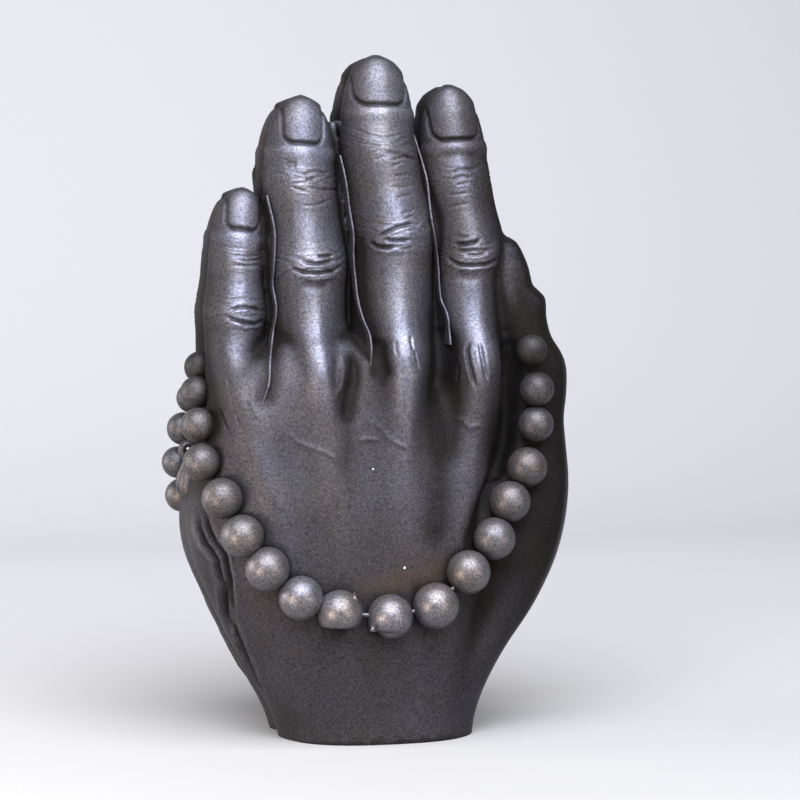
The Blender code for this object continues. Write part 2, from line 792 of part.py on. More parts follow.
def build():
    for old in list(bpy.data.objects):
        bpy.data.objects.remove(old)
    statue = bpy.data.collections.new("praying_hands_statue")
    bpy.context.scene.collection.children.link(statue)
    cutters = bpy.data.collections.new("cutters")
    bpy.context.scene.collection.children.link(cutters)

    hand = near_hand(statue)
    graph = bpy.context.evaluated_depsgraph_get()
    beads = bead_strings(BVHTree.FromObject(hand.evaluated_get(graph), graph))
    hide_helper(beads, cutters)
    thin = hand.modifiers.new("Fewer faces", "DECIMATE")
    thin.ratio = HAND_FACES / (2 * len(hand.data.polygons))
    apply_modifiers(hand)

    combine(hand, floor_cutter(cutters), "DIFFERENCE")
    apply_modifiers(hand)
    add_far_hand(hand)
    apply_modifiers(hand)
    combine(hand, beads, "UNION")
    combine(hand, pendant_drill(cutters), "DIFFERENCE")
    apply_modifiers(hand)
    fill_hollows(hand)
    hand.data.transform(Matrix.Translation((0, 0, -BASE_HEIGHT)))
    coat(hand)


build()
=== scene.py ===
"""Looks of the praying hands statue: two hands held palm to palm, with a string of beads.

The near hand is modelled like clay: limbs lofted from measured stations, fused, smoothed and
then carved with nails, creases, knuckles, tendons and veins. The far hand mirrors it. X runs
from the little fingers to the thumbs, Y from the near hand to the far hand, and Z up.
"""

import math
from typing import NamedTuple

import bmesh
import bpy
import numpy as np
from mathutils import Matrix, Vector, noise
from mathutils.bvhtree import BVHTree


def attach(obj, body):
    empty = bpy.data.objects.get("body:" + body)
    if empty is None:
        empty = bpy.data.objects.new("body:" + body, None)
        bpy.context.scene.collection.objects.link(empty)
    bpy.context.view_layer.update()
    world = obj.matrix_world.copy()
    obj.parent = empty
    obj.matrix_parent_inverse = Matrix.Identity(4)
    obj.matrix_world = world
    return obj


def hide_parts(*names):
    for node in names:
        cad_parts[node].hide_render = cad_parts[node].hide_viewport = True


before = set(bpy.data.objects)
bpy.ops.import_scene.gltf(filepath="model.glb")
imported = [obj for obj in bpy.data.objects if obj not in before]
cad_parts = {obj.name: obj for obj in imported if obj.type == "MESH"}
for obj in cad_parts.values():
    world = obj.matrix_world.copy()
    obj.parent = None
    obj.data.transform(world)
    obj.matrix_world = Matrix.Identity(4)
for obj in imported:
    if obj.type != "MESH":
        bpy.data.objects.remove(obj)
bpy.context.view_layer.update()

MM = 0.001

# Clay: how finely the forms are fused, whether fine relief gets finer faces, how far the palms
# are pressed together, and the most triangles that one hand may have
FUSE_VOXEL = 0.36 * MM
DETAIL_CUTS = 1
PALM_PRESS = 0.7 * MM
MOST_TRIANGLES = 190000
# How much of the wrist is cut away below
BASE_HEIGHT = 2.0 * MM

# Sections of the limbs: points in a ring, how far apart the rings are, and how square each
# limb is, where 2 is an oval
RING_POINTS = 28
RING_SPACING = 1.4 * MM
BODY_SQUARENESS = 2.6
FINGER_SQUARENESS = 1.6
THUMB_SQUARENESS = 2.2
OVAL = 2.0

# Fingers: the knuckle's place, then three bones with the lean of each towards the thumb


class Finger(NamedTuple):
    name: str
    knuckle: tuple
    bones: tuple
    leans: tuple
    width: float
    depth: float
    knuckle_depth: float
    back_depth: float
    root: tuple
    nail: tuple


LITTLE = Finger(
    name="little",
    knuckle=(-25.4, 62.5),
    bones=(16.2, 9.9, 12.3),
    leans=(0.5, 3, 7),
    width=11.4,
    depth=11.0,
    knuckle_depth=14.4,
    back_depth=15.6,
    root=(-10.0, 4.0),
    nail=(6.0, 7.4),
)
RING = Finger(
    name="ring",
    knuckle=(-12.2, 68.4),
    bones=(18.8, 15.2, 15.0),
    leans=(-1, -4, 3),
    width=14.6,
    depth=12.8,
    knuckle_depth=17.0,
    back_depth=18.9,
    root=(-4.0, 0.0),
    nail=(7.4, 8.6),
)
MIDDLE = Finger(
    name="middle",
    knuckle=(3.0, 71.2),
    bones=(21.4, 15.8, 16.6),
    leans=(1, -9, 0),
    width=15.4,
    depth=13.6,
    knuckle_depth=17.8,
    back_depth=20.2,
    root=(2.0, 0.0),
    nail=(10.0, 9.0),
)
INDEX = Finger(
    name="index",
    knuckle=(17.4, 68.8),
    bones=(20.2, 14.0, 17.0),
    leans=(1, -9, -4),
    width=14.0,
    depth=13.0,
    knuckle_depth=17.0,
    back_depth=19.0,
    root=(8.5, 2.0),
    nail=(9.3, 10.0),
)
FINGERS = (LITTLE, RING, MIDDLE, INDEX)

# Share of a finger's width and depth along it: 0 is the knuckle, 1 the middle joint,
# 2 the end joint and 3 the tip, and -1 is the wrist end of the metacarpal
FINGER_PROFILE = (
    (-1.00, 0.60, None),
    (-0.50, 0.72, None),
    (-0.20, 0.90, None),
    (0.00, 0.98, None),
    (0.22, 0.99, 1.14),
    (0.55, 0.97, 1.00),
    (0.80, 0.99, 0.97),
    (1.00, 1.03, 1.00),
    (1.25, 0.99, 0.94),
    (1.60, 0.93, 0.86),
    (1.85, 0.92, 0.84),
    (2.00, 0.92, 0.81),
    (2.25, 0.88, 0.74),
    (2.40, 0.86, 0.70),
)
# The depth of a metacarpal at the wrist, and where it is deepest on its way to the knuckle
WRIST_DEPTH = 16.0 * MM
METACARPAL_MIDDLE = -0.45
# The dome of a fingertip: its length, how far it leans to the seam, how full it is, how much
# of the last bone it may take, and how it narrows from the finger
TIP_LENGTH = 10.0 * MM
TIP_RAKE = 1.3 * MM
TIP_FULLNESS = 2.0
TIP_MOST = 0.98
TIP_WIDTH = 0.97
TIP_DEPTH = 0.94
TIP_SHARES = (0.25, 0.5, 0.7, 0.85, 0.95, 0.995)

# The clefts between fingers are closed from one height to another by a thin skin, on a
# thicker one at the seam: half width, and how far out it reaches as a share of the fingers
CLEFTS = ((52.0, 98.0), (58.0, 113.0), (58.0, 102.0))
CLEFT_SKINS = ((0.8 * MM, 0.42), (2.8 * MM, 0.20))
CLEFT_STEPS = 12

# The string of beads, from the cleft of the thumb round to the little finger's side:
# each bead's place, which is then drawn on to the skin, and its radius
BEADS = (
    (27.3, -10.0, 71.8, 2.8),
    (28.2, -11.5, 64.8, 3.1),
    (28.1, -13.0, 58.4, 3.2),
    (26.2, -15.5, 50.7, 3.6),
    (22.5, -18.5, 44.7, 3.7),
    (19.1, -20.5, 38.3, 3.8),
    (13.8, -22.0, 32.7, 3.9),
    (7.6, -22.6, 27.0, 4.1),
    (-0.8, -22.8, 25.4, 4.0),
    (-9.8, -22.4, 26.4, 4.0),
    (-16.6, -21.0, 29.1, 3.9),
    (-22.3, -18.5, 34.2, 3.9),
    (-26.5, -15.5, 39.9, 3.8),
    (-29.6, -13.0, 46.4, 3.6),
    (-32.1, -10.5, 52.4, 3.3),
    (-32.7, -8.5, 58.8, 3.1),
    (-32.2, -4.2, 64.4, 2.9),
)
# The far hand's string mirrors it, but its last beads lie lower and nearer the seam
MIRRORED_BEADS = 13
FAR_STRAND = (
    (-32.2, -12.2, 44.6, 3.1),
    (-33.4, -8.0, 51.0, 2.9),
    (-33.4, -5.6, 57.4, 3.0),
    (-31.9, -3.6, 63.0, 2.7),
)
# How much of a bead's radius its middle stands off the skin
BEAD_PROUD = 0.6
# A bead nearer to the seam than this hangs where it is placed
FREE_NEAR_SEAM = 5.0

# Where the strands meet over the seam: the bead there, then the pendant that hangs below
CROSSING_BEAD = (-30.8, 0.0, 68.7, 2.9)
PENDANT_BEAD = (-33.0, -0.2, 53.8, 1.9)
PENDANT_HOLE_RADIUS = 0.55 * MM
PENDANT_CORD = (
    (-29.6, 0.0, 67.5, 0.8, 0.7, 6.0),
    (-31.4, 0.0, 62.0, 0.8, 0.7, 6.0),
    (-32.0, 0.0, 56.0, 0.8, 0.7, 6.0),
    (-32.2, 0.0, 52.0, 0.8, 0.7, 5.0),
)
PENDANT_DROP = (
    (-32.8, -0.6, 53.2, 0.6, 0.6, 1.2),
    (-33.2, -1.3, 51.0, 0.9, 0.9, 1.4),
    (-33.5, -1.9, 49.0, 1.4, 1.4, 1.8),
    (-33.5, -2.2, 47.4, 1.7, 1.6, 2.0),
    (-33.2, -2.3, 46.0, 1.4, 1.3, 1.8),
    (-32.8, -2.3, 45.1, 0.6, 0.6, 1.2),
)


def smooth_rows(rows, spacing):
    """Rows of numbers, re-read along a smooth curve through them at about this spacing.

    The first three numbers of a row are its place.
    """
    rows = np.asarray(rows, float)
    gaps = np.linalg.norm(np.diff(rows[:, :3], axis=0), axis=1)
    at = np.concatenate([[0.0], np.cumsum(gaps)])
    slopes = np.gradient(rows, at, axis=0)
    count = max(4, round(at[-1] / spacing))
    wanted = np.linspace(0.0, at[-1], count + 1)
    span = np.clip(np.searchsorted(at, wanted, side="right") - 1, 0, len(at) - 2)
    width = (at[span + 1] - at[span])[:, None]
    t = (wanted - at[span])[:, None] / width
    return (
        (2 * t**3 - 3 * t**2 + 1) * rows[span]
        + (t**3 - 2 * t**2 + t) * width * slopes[span]
        + (3 * t**2 - 2 * t**3) * rows[span + 1]
        + (t**3 - t**2) * width * slopes[span + 1]
    )


def rounded_ring(half_width, outer, inner, squareness, count):
    """A rounded section: (across, facing) for each point, fuller than an oval."""
    angles = np.arange(count) * 2 * math.pi / count
    power = 2.0 / squareness
    across = np.sign(np.cos(angles)) * np.abs(np.cos(angles)) ** power * half_width
    rise = np.sign(np.sin(angles)) * np.abs(np.sin(angles)) ** power
    return across, np.where(rise > 0, rise * outer, rise * inner)


def kept(name, mesh):
    """The finished mesh, once its working copy is freed."""
    data = bpy.data.meshes.new(name)
    mesh.to_mesh(data)
    mesh.free()
    return data


def lofted(name, mesh, rings):
    """A closed skin over rings of points, from the first ring to the last."""
    count = len(rings[0])
    for low, high in zip(rings, rings[1:]):
        for i in range(count):
            j = (i + 1) % count
            mesh.faces.new((low[i], low[j], high[j], high[i]))
    mesh.faces.new(rings[0])
    mesh.faces.new(rings[-1])
    bmesh.ops.recalc_face_normals(mesh, faces=mesh.faces)
    return kept(name, mesh)


def placed(name, data, collection):
    """An object that shows this mesh."""
    obj = bpy.data.objects.new(name, data)
    collection.objects.link(obj)
    return obj


def round_off(data):
    """Shades the mesh as one smooth skin."""
    for polygon in data.polygons:
        polygon.use_smooth = True


def lower(data):
    """Takes a mesh down by what is cut away under the wrist."""
    data.transform(Matrix.Translation((0, 0, -BASE_HEIGHT)))


def limb(name, rows, facing, squareness, points=RING_POINTS):
    """A rounded limb through rows of (x, y, z, half width, outer depth, inner depth).

    facing is the way its back looks: the outer depth is measured that way.
    """
    rows = smooth_rows(rows, RING_SPACING)
    facing = Vector(facing).normalized()
    mesh = bmesh.new()
    rings = []
    for index, row in enumerate(rows):
        ahead = rows[min(index + 1, len(rows) - 1)][:3]
        behind = rows[max(index - 1, 0)][:3]
        along = Vector(ahead - behind).normalized()
        side = along.cross(facing).normalized()
        front = side.cross(along).normalized()
        across, rise = rounded_ring(row[3], row[4], row[5], squareness, points)
        centre = Vector(row[:3])
        rings.append(
            [mesh.verts.new(centre + side * a + front * r) for a, r in zip(across, rise)]
        )
    return lofted(name, mesh, rings)


def tip_rows(end, along, half_width, depth, length):
    """Rows that close a limb with a dome of this length, starting where its body ends."""
    rows = []
    for share in TIP_SHARES:
        swell = (1 - share**TIP_FULLNESS) ** (1 / TIP_FULLNESS)
        place = end + along * length * share
        rows.append((place, half_width * swell, depth * swell, share))
    return rows


def finger_joints(finger):
    """The points (x, z) of the metacarpal's root, the three joints and the tip."""
    points = [np.array(finger.root), np.array(finger.knuckle)]
    for bone, lean in zip(finger.bones, finger.leans):
        lean = math.radians(lean)
        points.append(points[-1] + bone * np.array([math.sin(lean), math.cos(lean)]))
    return [point * MM for point in points]


def finger_rows(finger):
    """The limb's rows from the wrist end of the metacarpal to the finger's tip."""
    joints = finger_joints(finger)
    width = finger.width * MM / 2
    knuckle_depth = finger.knuckle_depth * MM
    back_depth = finger.back_depth * MM
    depth = finger.depth * MM
    metacarpal = (WRIST_DEPTH, back_depth, knuckle_depth)
    stations = []
    for where, width_share, depth_share in FINGER_PROFILE:
        bone = min(int(math.floor(where)) + 1, 3)
        place = joints[bone] + (joints[bone + 1] - joints[bone]) * (where + 1 - bone)
        if depth_share is None:
            deep = np.interp(where, (-1, METACARPAL_MIDDLE, 0), metacarpal)
        else:
            deep = depth * depth_share
        stations.append((place, width * width_share, deep))
    last, tip = stations[-1][0], joints[-1]
    along = (tip - last) / np.linalg.norm(tip - last)
    dome = min(TIP_LENGTH, float(np.linalg.norm(tip - last)) * TIP_MOST)
    start = tip - along * dome
    rows = []
    for place, half_width, deep in stations:
        rows.append((place[0], PALM_PRESS - deep / 2, place[1], half_width, deep / 2, deep / 2))
    half_width = stations[-1][1] * TIP_WIDTH
    deep = stations[-1][2] * TIP_DEPTH
    for place, wide, thick, share in tip_rows(start, along, half_width, deep / 2, dome):
        y = PALM_PRESS - deep / 2 + TIP_RAKE * share**2
        rows.append((place[0], y, place[1], wide, thick, thick))
    return rows


# How thick one hand is where it is thickest, from the seam to the skin of its back
HAND_THICKNESS = 20.0

# The body of the hand: z, little finger side, thumb side, share of the hand's thickness, and
# how far its widest part is from the seam
HAND_BODY = (
    (-10.0, -16.0, 18.4, 0.90, 2.6),
    (0.0, -16.2, 18.6, 0.90, 2.6),
    (4.0, -17.2, 18.8, 0.90, 2.8),
    (9.0, -19.0, 19.2, 0.91, 3.2),
    (18.0, -23.6, 20.9, 0.94, 4.6),
    (28.0, -28.2, 23.2, 0.98, 5.0),
    (38.0, -31.2, 24.6, 1.00, 6.0),
    (47.0, -32.2, 25.4, 0.99, 7.0),
    (55.0, -31.0, 25.2, 0.92, 7.5),
    (61.0, -25.6, 24.4, 0.85, 7.0),
    (65.0, -18.0, 21.0, 0.76, 6.4),
    (67.5, -10.0, 16.0, 0.57, 5.4),
)


def hand_body_rows():
    rows = []
    for z, left, right, thickness, waist in HAND_BODY:
        centre = ((left + right) / 2, PALM_PRESS / MM - waist, z)
        depth = HAND_THICKNESS * thickness - waist
        rows.append(centre + ((right - left) / 2, depth, waist))
    return scaled(rows)


# Thumb along the index finger's side: place, half width, outer and inner depth
THUMB = (
    (11.6, -7.5, 3.0, 6.4, 5.6, 6.0),
    (14.2, -7.5, 12.0, 6.8, 6.0, 6.0),
    (18.2, -7.5, 20.0, 7.4, 6.2, 7.0),
    (24.2, -7.4, 29.0, 7.6, 6.4, 8.0),
    (28.2, -7.0, 38.0, 7.0, 6.7, 8.0),
    (29.6, -6.4, 47.0, 6.5, 6.7, 7.0),
    (29.5, -6.0, 54.0, 6.0, 6.4, 6.0),
    (29.2, -6.0, 59.0, 5.8, 6.3, 6.0),
    (29.2, -6.0, 64.0, 6.0, 6.8, 6.0),
    (29.0, -6.0, 68.5, 6.1, 6.8, 6.0),
    (28.0, -6.0, 73.0, 5.9, 5.1, 6.0),
    (27.2, -5.9, 77.0, 5.8, 4.9, 5.8),
    (26.5, -5.8, 80.0, 5.7, 5.5, 5.6),
    (25.8, -5.7, 82.2, 5.6, 3.8, 5.4),
    (25.2, -5.6, 84.4, 5.4, 4.0, 5.2),
    (24.2, -5.2, 88.0, 4.8, 3.8, 4.6),
    (23.6, -4.9, 90.6, 3.8, 3.0, 3.6),
    (23.2, -4.7, 91.8, 2.0, 1.8, 2.0),
)

# The pad on the little finger's side of the palm, squeezed out at the seam
HEEL_PAD = (
    (-15.0, -4.2, -8.0, 3.4, 2.0, 3.0),
    (-15.4, -4.2, 2.0, 3.4, 2.2, 3.0),
    (-18.0, -4.2, 10.0, 3.8, 2.4, 3.0),
    (-22.6, -4.2, 20.0, 4.6, 3.8, 4.0),
    (-26.4, -4.2, 29.0, 5.0, 4.2, 5.0),
    (-29.4, -4.2, 38.0, 5.2, 4.7, 5.0),
    (-29.6, -4.2, 46.0, 5.2, 4.4, 5.0),
    (-28.4, -3.9, 54.0, 5.2, 3.6, 4.0),
    (-27.4, -3.6, 61.0, 5.2, 3.2, 5.0),
    (-26.6, -3.4, 67.0, 5.0, 2.8, 6.0),
    (-25.6, -3.2, 71.0, 4.4, 2.4, 6.0),
)

# The web of skin between the thumb and the index finger, at the bottom of the bead groove
THUMB_WEB = (
    (20.0, -6.6, 22.0, 5.4, 6.0, 6.0),
    (23.0, -6.6, 34.0, 6.2, 6.4, 6.0),
    (25.0, -6.4, 46.0, 6.2, 5.6, 6.0),
    (25.4, -6.0, 58.0, 5.8, 5.0, 6.0),
    (25.2, -5.6, 70.0, 5.2, 4.4, 5.0),
    (24.0, -5.2, 80.0, 4.4, 3.6, 5.0),
)


def scaled(rows):
    return [tuple(value * MM for value in row) for row in rows]


def finger_at(rows, height):
    """A finger's middle, half width and whole depth at a height up the hand."""
    rows = np.asarray(rows)
    heights = rows[:, 2]
    middle = np.interp(height, heights, rows[:, 0])
    half_width = np.interp(height, heights, rows[:, 3])
    depth = np.interp(height, heights, rows[:, 4] + rows[:, 5])
    return middle, half_width, depth


def cleft_rows(near, far, low, high, half_width, reach):
    """Clay in the cleft between two fingers, from the seam out to a share of their depth."""
    rows = []
    for height in np.linspace(low, high, CLEFT_STEPS) * MM:
        middle_a, half_a, depth_a = finger_at(near, height)
        middle_b, half_b, depth_b = finger_at(far, height)
        x = (middle_a + half_a + middle_b - half_b) / 2
        depth = reach * min(depth_a, depth_b)
        rows.append((x, 0.0, height, half_width, depth, PALM_PRESS))
    return rows


def joined(name, meshes, collection):
    """One object that holds all these meshes."""
    whole = bmesh.new()
    for data in meshes:
        whole.from_mesh(data)
        bpy.data.meshes.remove(data)
    return placed(name, kept(name, whole), collection)


def apply_modifiers(obj):
    """Replaces the object's mesh by what its modifiers make of it."""
    graph = bpy.context.evaluated_depsgraph_get()
    data = bpy.data.meshes.new_from_object(
        obj.evaluated_get(graph), preserve_all_data_layers=True, depsgraph=graph
    )
    obj.modifiers.clear()
    obj.data = data


def fuse(obj, voxel):
    remesh = obj.modifiers.new("Fuse", "REMESH")
    remesh.mode = "VOXEL"
    remesh.voxel_size = voxel
    remesh.adaptivity = 0.0
    apply_modifiers(obj)


def thin_out(obj, most):
    """Takes out the triangles that show least, until no more than this many are left."""
    count = sum(len(polygon.vertices) - 2 for polygon in obj.data.polygons)
    if count > most:
        collapse = obj.modifiers.new("Thin out", "DECIMATE")
        collapse.ratio = most / count
        apply_modifiers(obj)


def read_vectors(items, field):
    values = np.empty(len(items) * 3)
    items.foreach_get(field, values)
    return values.reshape(-1, 3)


def relax(points, edges, rounds, weight):
    """Draws each point towards the middle of its neighbours, by its weight."""
    count = len(points)
    ends = np.concatenate([edges, edges[:, ::-1]])
    valence = np.bincount(ends[:, 0], minlength=count)[:, None]
    for _ in range(rounds):
        total = np.stack(
            [np.bincount(ends[:, 0], points[ends[:, 1], k], count) for k in range(3)],
            axis=1,
        )
        points = points + (total / valence - points) * weight[:, None]
    return points


def ramp(value, start, end):
    """0 up to start, 1 from end on, and smooth between; end may be the lower one."""
    t = np.clip((value - start) / (end - start), 0.0, 1.0)
    return t * t * (3 - 2 * t)


def bump(distance, width):
    return np.exp(-((distance / width) ** 2))


# Creases of the skin on the back of the near hand, as lines of points (x, z) in
# millimetres, which keep the height of the clay before its base is cut
DEEP_LINES = (
    ((-27.5, 78.9), (-25.7, 79.5), (-24.2, 79.6), (-22.3, 79.3), (-20.7, 78.7)),
    ((-28.1, 78.4), (-26.6, 77.5), (-24.4, 76.8), (-22.5, 76.6), (-20.3, 77.3)),
    ((-11.7, 88.6), (-9.9, 88.6), (-8.6, 88.6)),
    ((-14.9, 88.1), (-13.8, 87.5), (-12.0, 87.2), (-9.5, 87.6), (-7.8, 88.1)),
    ((-16.4, 87.2), (-15.7, 86.3), (-14.0, 85.7), (-11.3, 85.6), (-8.5, 86.0), (-6.3, 87.2)),
    ((-0.8, 92.0), (0.5, 92.7), (2.5, 93.7), (5.0, 94.3), (6.5, 94.2)),
    ((-2.0, 91.3), (-0.9, 90.4), (0.8, 90.1), (2.3, 90.5)),
    ((0.2, 91.6), (2.5, 91.3), (5.0, 91.5)),
    ((13.7, 90.8), (15.5, 90.8), (17.1, 91.2), (18.3, 91.7)),
    ((12.6, 88.7), (13.3, 87.7), (14.6, 87.1), (16.5, 87.0), (19.2, 87.2), (22.0, 88.1)),
    ((15.1, 89.0), (16.9, 88.8), (19.4, 89.2)),
    ((14.1, 89.5), (16.1, 89.6), (18.9, 89.7), (20.4, 89.9)),
    ((15.5, 73.2), (15.0, 71.6), (15.2, 69.3), (15.6, 67.2), (16.0, 65.2)),
    ((17.1, 73.3), (17.2, 71.1), (17.4, 68.4), (17.7, 66.3)),
)
LINES = (
    ((4.1, 74.5), (4.0, 73.0), (4.0, 71.7)),
    ((-27.6, 68.3), (-27.4, 65.5), (-27.0, 62.8), (-26.4, 60.0), (-25.8, 57.9)),
    ((-25.3, 87.9), (-23.2, 87.8), (-20.8, 88.1)),
    ((-26.6, 87.0), (-23.9, 86.9), (-21.0, 87.1)),
    ((-26.7, 88.8), (-23.9, 88.6), (-21.0, 88.8)),
    ((-14.2, 102.8), (-12.7, 103.4), (-11.1, 103.7), (-8.7, 103.3)),
    ((-13.5, 101.9), (-11.5, 102.4)),
    ((-15.9, 100.9), (-13.4, 100.0)),
    ((-12.9, 100.8), (-10.4, 100.4), (-6.4, 100.5)),
    ((-24.5, 63.1), (-24.0, 60.9), (-23.1, 59.3)),
    ((-29.1, 62.0), (-28.4, 59.0), (-27.7, 57.2)),
    ((4.3, 72.1), (4.7, 70.0), (5.1, 68.2)),
    ((13.6, 69.5), (13.1, 66.3)),
    ((1.0, 107.3), (3.6, 107.0), (6.5, 106.2)),
    ((2.1, 105.7), (4.9, 106.5), (7.8, 105.9)),
    ((12.9, 103.4), (14.6, 104.1), (16.5, 104.4), (18.2, 104.0)),
    ((13.1, 102.3), (15.3, 103.0), (17.3, 102.7)),
)
FINE_LINES = (
    ((1.5, 73.6), (1.4, 72.3), (1.7, 70.7)),
    ((-14.2, 97.5), (-11.2, 97.7), (-8.2, 98.8)),
    ((-9.4, 89.7), (-6.9, 89.0)),
    ((-28.1, 80.8), (-24.4, 81.2), (-20.7, 80.7)),
    ((-24.9, 78.1), (-22.4, 78.0)),
    ((2.1, 104.7), (4.4, 105.4)),
    ((2.4, 102.9), (5.7, 103.3)),
    ((1.6, 100.9), (5.8, 101.1)),
    ((2.6, 99.1), (6.3, 99.7)),
    ((3.5, 96.3), (6.2, 96.8)),
    ((3.8, 95.2), (5.8, 95.8), (7.7, 94.9)),
    ((3.5, 93.1), (6.4, 93.4)),
    ((3.1, 89.7), (5.7, 90.2)),
    ((14.1, 101.4), (16.7, 101.8)),
    ((12.9, 99.6), (16.3, 100.0)),
    ((12.7, 97.5), (16.6, 98.2)),
    ((14.1, 91.9), (16.2, 92.2)),
)
HOLLOWS = (
    ((-8.8, 71.4), (-9.4, 69.0), (-9.7, 66.9), (-9.4, 64.8)),
    ((-5.9, 71.7), (-5.5, 69.2), (-5.5, 66.8), (-6.5, 64.7)),
    ((11.2, 106.7), (14.3, 107.0), (17.1, 106.9), (19.9, 106.4)),
    ((-16.7, 105.1), (-14.8, 104.9)),
    ((-14.8, 83.7), (-12.2, 83.2), (-9.0, 83.5)),
    ((13.8, 85.3), (16.2, 84.7), (18.4, 85.1)),
)
VALLEYS = (
    ((-19.6, 74.6), (-20.6, 69.5), (-21.5, 65.0), (-22.6, 61.0)),
    ((-5.9, 72.3), (-5.6, 69.2), (-6.6, 66.0), (-7.4, 62.5), (-7.9, 58.5)),
    ((-1.4, 74.5), (-1.2, 70.0), (-0.6, 66.5)),
    ((11.4, 76.5), (11.9, 72.5), (11.5, 68.5), (10.6, 63.5)),
)
# The deep groove between the back of the hand and the thumb, where the beads run
GROOVES = (
    (
        (23.4, 74.6), (23.8, 66.0), (23.8, 60.7), (23.0, 55.0), (21.3, 49.6), (18.6, 45.0),
        (15.6, 39.6),
    ),
)
VEINS = (
    ((-18.5, 58.2), (-16.4, 56.0), (-13.5, 54.9), (-10.1, 53.3), (-9.1, 51.5)),
    ((-3.8, 59.8), (-1.7, 58.5), (0.3, 56.1), (2.5, 54.9), (3.8, 54.3)),
    ((-5.9, 56.3), (-3.6, 56.5), (-1.6, 56.1)),
    ((12.0, 59.8), (13.9, 59.5), (14.7, 58.1), (16.5, 58.6), (18.7, 57.5)),
    ((-7.9, 71.4), (-7.5, 68.6), (-8.2, 65.5), (-9.9, 63.8)),
    ((-27.5, 77.0), (-24.5, 75.9), (-21.2, 76.2)),
    ((-15.6, 85.1), (-11.7, 84.4), (-7.8, 85.1)),
    ((13.6, 86.5), (16.2, 86.2), (19.1, 86.5), (22.0, 87.2)),
    ((-1.4, 89.7), (1.3, 89.2), (4.0, 89.7)),
)
RIDGES = (
    ((-12.0, 80.9), (-11.6, 77.3), (-11.7, 73.0), (-11.7, 68.7), (-11.2, 64.9)),
    ((-8.7, 51.2), (-8.3, 46.0), (-8.0, 35.4)),
    ((-24.4, 56.5), (-22.3, 49.6), (-19.5, 43.5)),
)

# The folds of skin at the heel of the hand, as lines of points (x, y, z)
HEEL_LINES = (
    ((-26.6, -9.2, 24.6), (-25.4, -9.0, 20.4), (-23.0, -8.4, 15.6), (-20.6, -7.8, 11.0)),
    (
        (-31.9, -9.2, 43.5), (-31.0, -10.2, 40.4), (-30.0, -11.3, 37.8), (-28.8, -12.5, 35.9),
        (-27.9, -12.3, 31.7), (-27.3, -11.0, 27.0), (-26.7, -9.8, 23.8),
    ),
    (
        (-32.8, -7.8, 43.4), (-32.3, -8.3, 40.2), (-31.3, -9.3, 37.6), (-29.7, -10.8, 35.1),
        (-28.5, -10.5, 29.7), (-27.7, -8.4, 24.9), (-26.5, -7.3, 20.9),
    ),
)
# Each kind of line: how far it stands out, its half width, and the rise of its lips
STROKES = (
    (DEEP_LINES, -0.58, 0.28, 0.09),
    (LINES, -0.26, 0.24, 0.03),
    (FINE_LINES, -0.15, 0.22, 0.04),
    (HOLLOWS, -0.36, 0.85, 0.0),
    (VEINS, 0.20, 0.42, 0.0),
    (RIDGES, 0.25, 1.20, 0.0),
    (VALLEYS, -0.90, 1.70, 0.0),
    (GROOVES, -2.80, 1.50, 0.20),
    (HEEL_LINES, -1.30, 0.70, 0.55),
)
# The first kinds are fine, and get finer faces as far as this many half widths
FINE_STROKES = 5
FINE_REACH = 2.6
# A stroke is full along its middle and fades to a share at its ends; its lips stand beside it
STROKE_FADE = 6.4
STROKE_ENDS = 0.12
LIP_OUT = 2.2
LIP_WIDTH = 0.9
STROKE_REACH = 4
# Fine folds across each finger: which joint, how far they spread along it, and how deep
WRINKLES = (
    (2, 3.4, 0.26),
    (3, 3.0, 0.24),
)
# Finer faces reach this far from a nail's rim, this many spreads along a joint's wrinkles, and
# no nearer to the seam than this
FINE_BY_NAIL = 1.1
FINE_WRINKLES = 1.2
FINE_FROM_SEAM = 3 * MM
# How far wrinkles reach to the sides as a share of the finger's width, how they bow, how
# closely they follow each other across and along the finger, how sharp they are, and how far
# the skin between them stands out
WRINKLE_REACH = 0.6
WRINKLE_BOW = 0.05
WRINKLE_ACROSS = 0.22
WRINKLE_ALONG = 1.9
WRINKLE_EDGE = 0.7
WRINKLE_SKIN = 0.35
# Small rises and pits: place (x, z), height and radius
LUMPS = (
    (-5.6, 74.2, 0.60, 1.9),
    (-3.0, 69.4, 0.55, 1.6),
    (4.7, 67.2, 0.30, 1.4),
    (-25.1, 83.7, -0.30, 0.3),
)

# Smoothing of the clay, in rounds at a voxel of this size: all over, and where the fingers
# run into the hand, but for the thumb's side above the wrist
ROUNDS_VOXEL = 0.45 * MM
EVEN_ROUNDS = 5
EVEN_WEIGHT = 0.5
SOFTEN_ROUNDS = 60
SOFTEN_WEIGHT = 0.6
SOFT_BELOW = (77, 59)
SOFT_BESIDE_THUMB = (27, 22)
SOFT_WRIST = (50, 34)

# Relief of the nails and of the broad forms, in millimetres
NAIL_RISE = 0.34
NAIL_GROOVE = 0.50
NAIL_FOLD = 0.30
JOINT_SWELL = 0.35
TENDON_RISE = 0.55
KNUCKLE_RISE = 0.45

# A nail: its corners' radius and its taper as shares of its half width, the slope of its rim,
# the groove's place and width, where that starts below the tip, and the fold's place and width
NAIL_CORNER = 0.45
NAIL_TAPER = 0.05
NAIL_SLOPE = (0.05, -0.45)
GROOVE_OUT = 0.12
GROOVE_WIDTH = 0.30
GROOVE_FROM = (0.8, 2.6)
FOLD_BELOW = 1.7
FOLD_WIDTH = 1.3
FOLD_FROM = (0.2, 1.0)

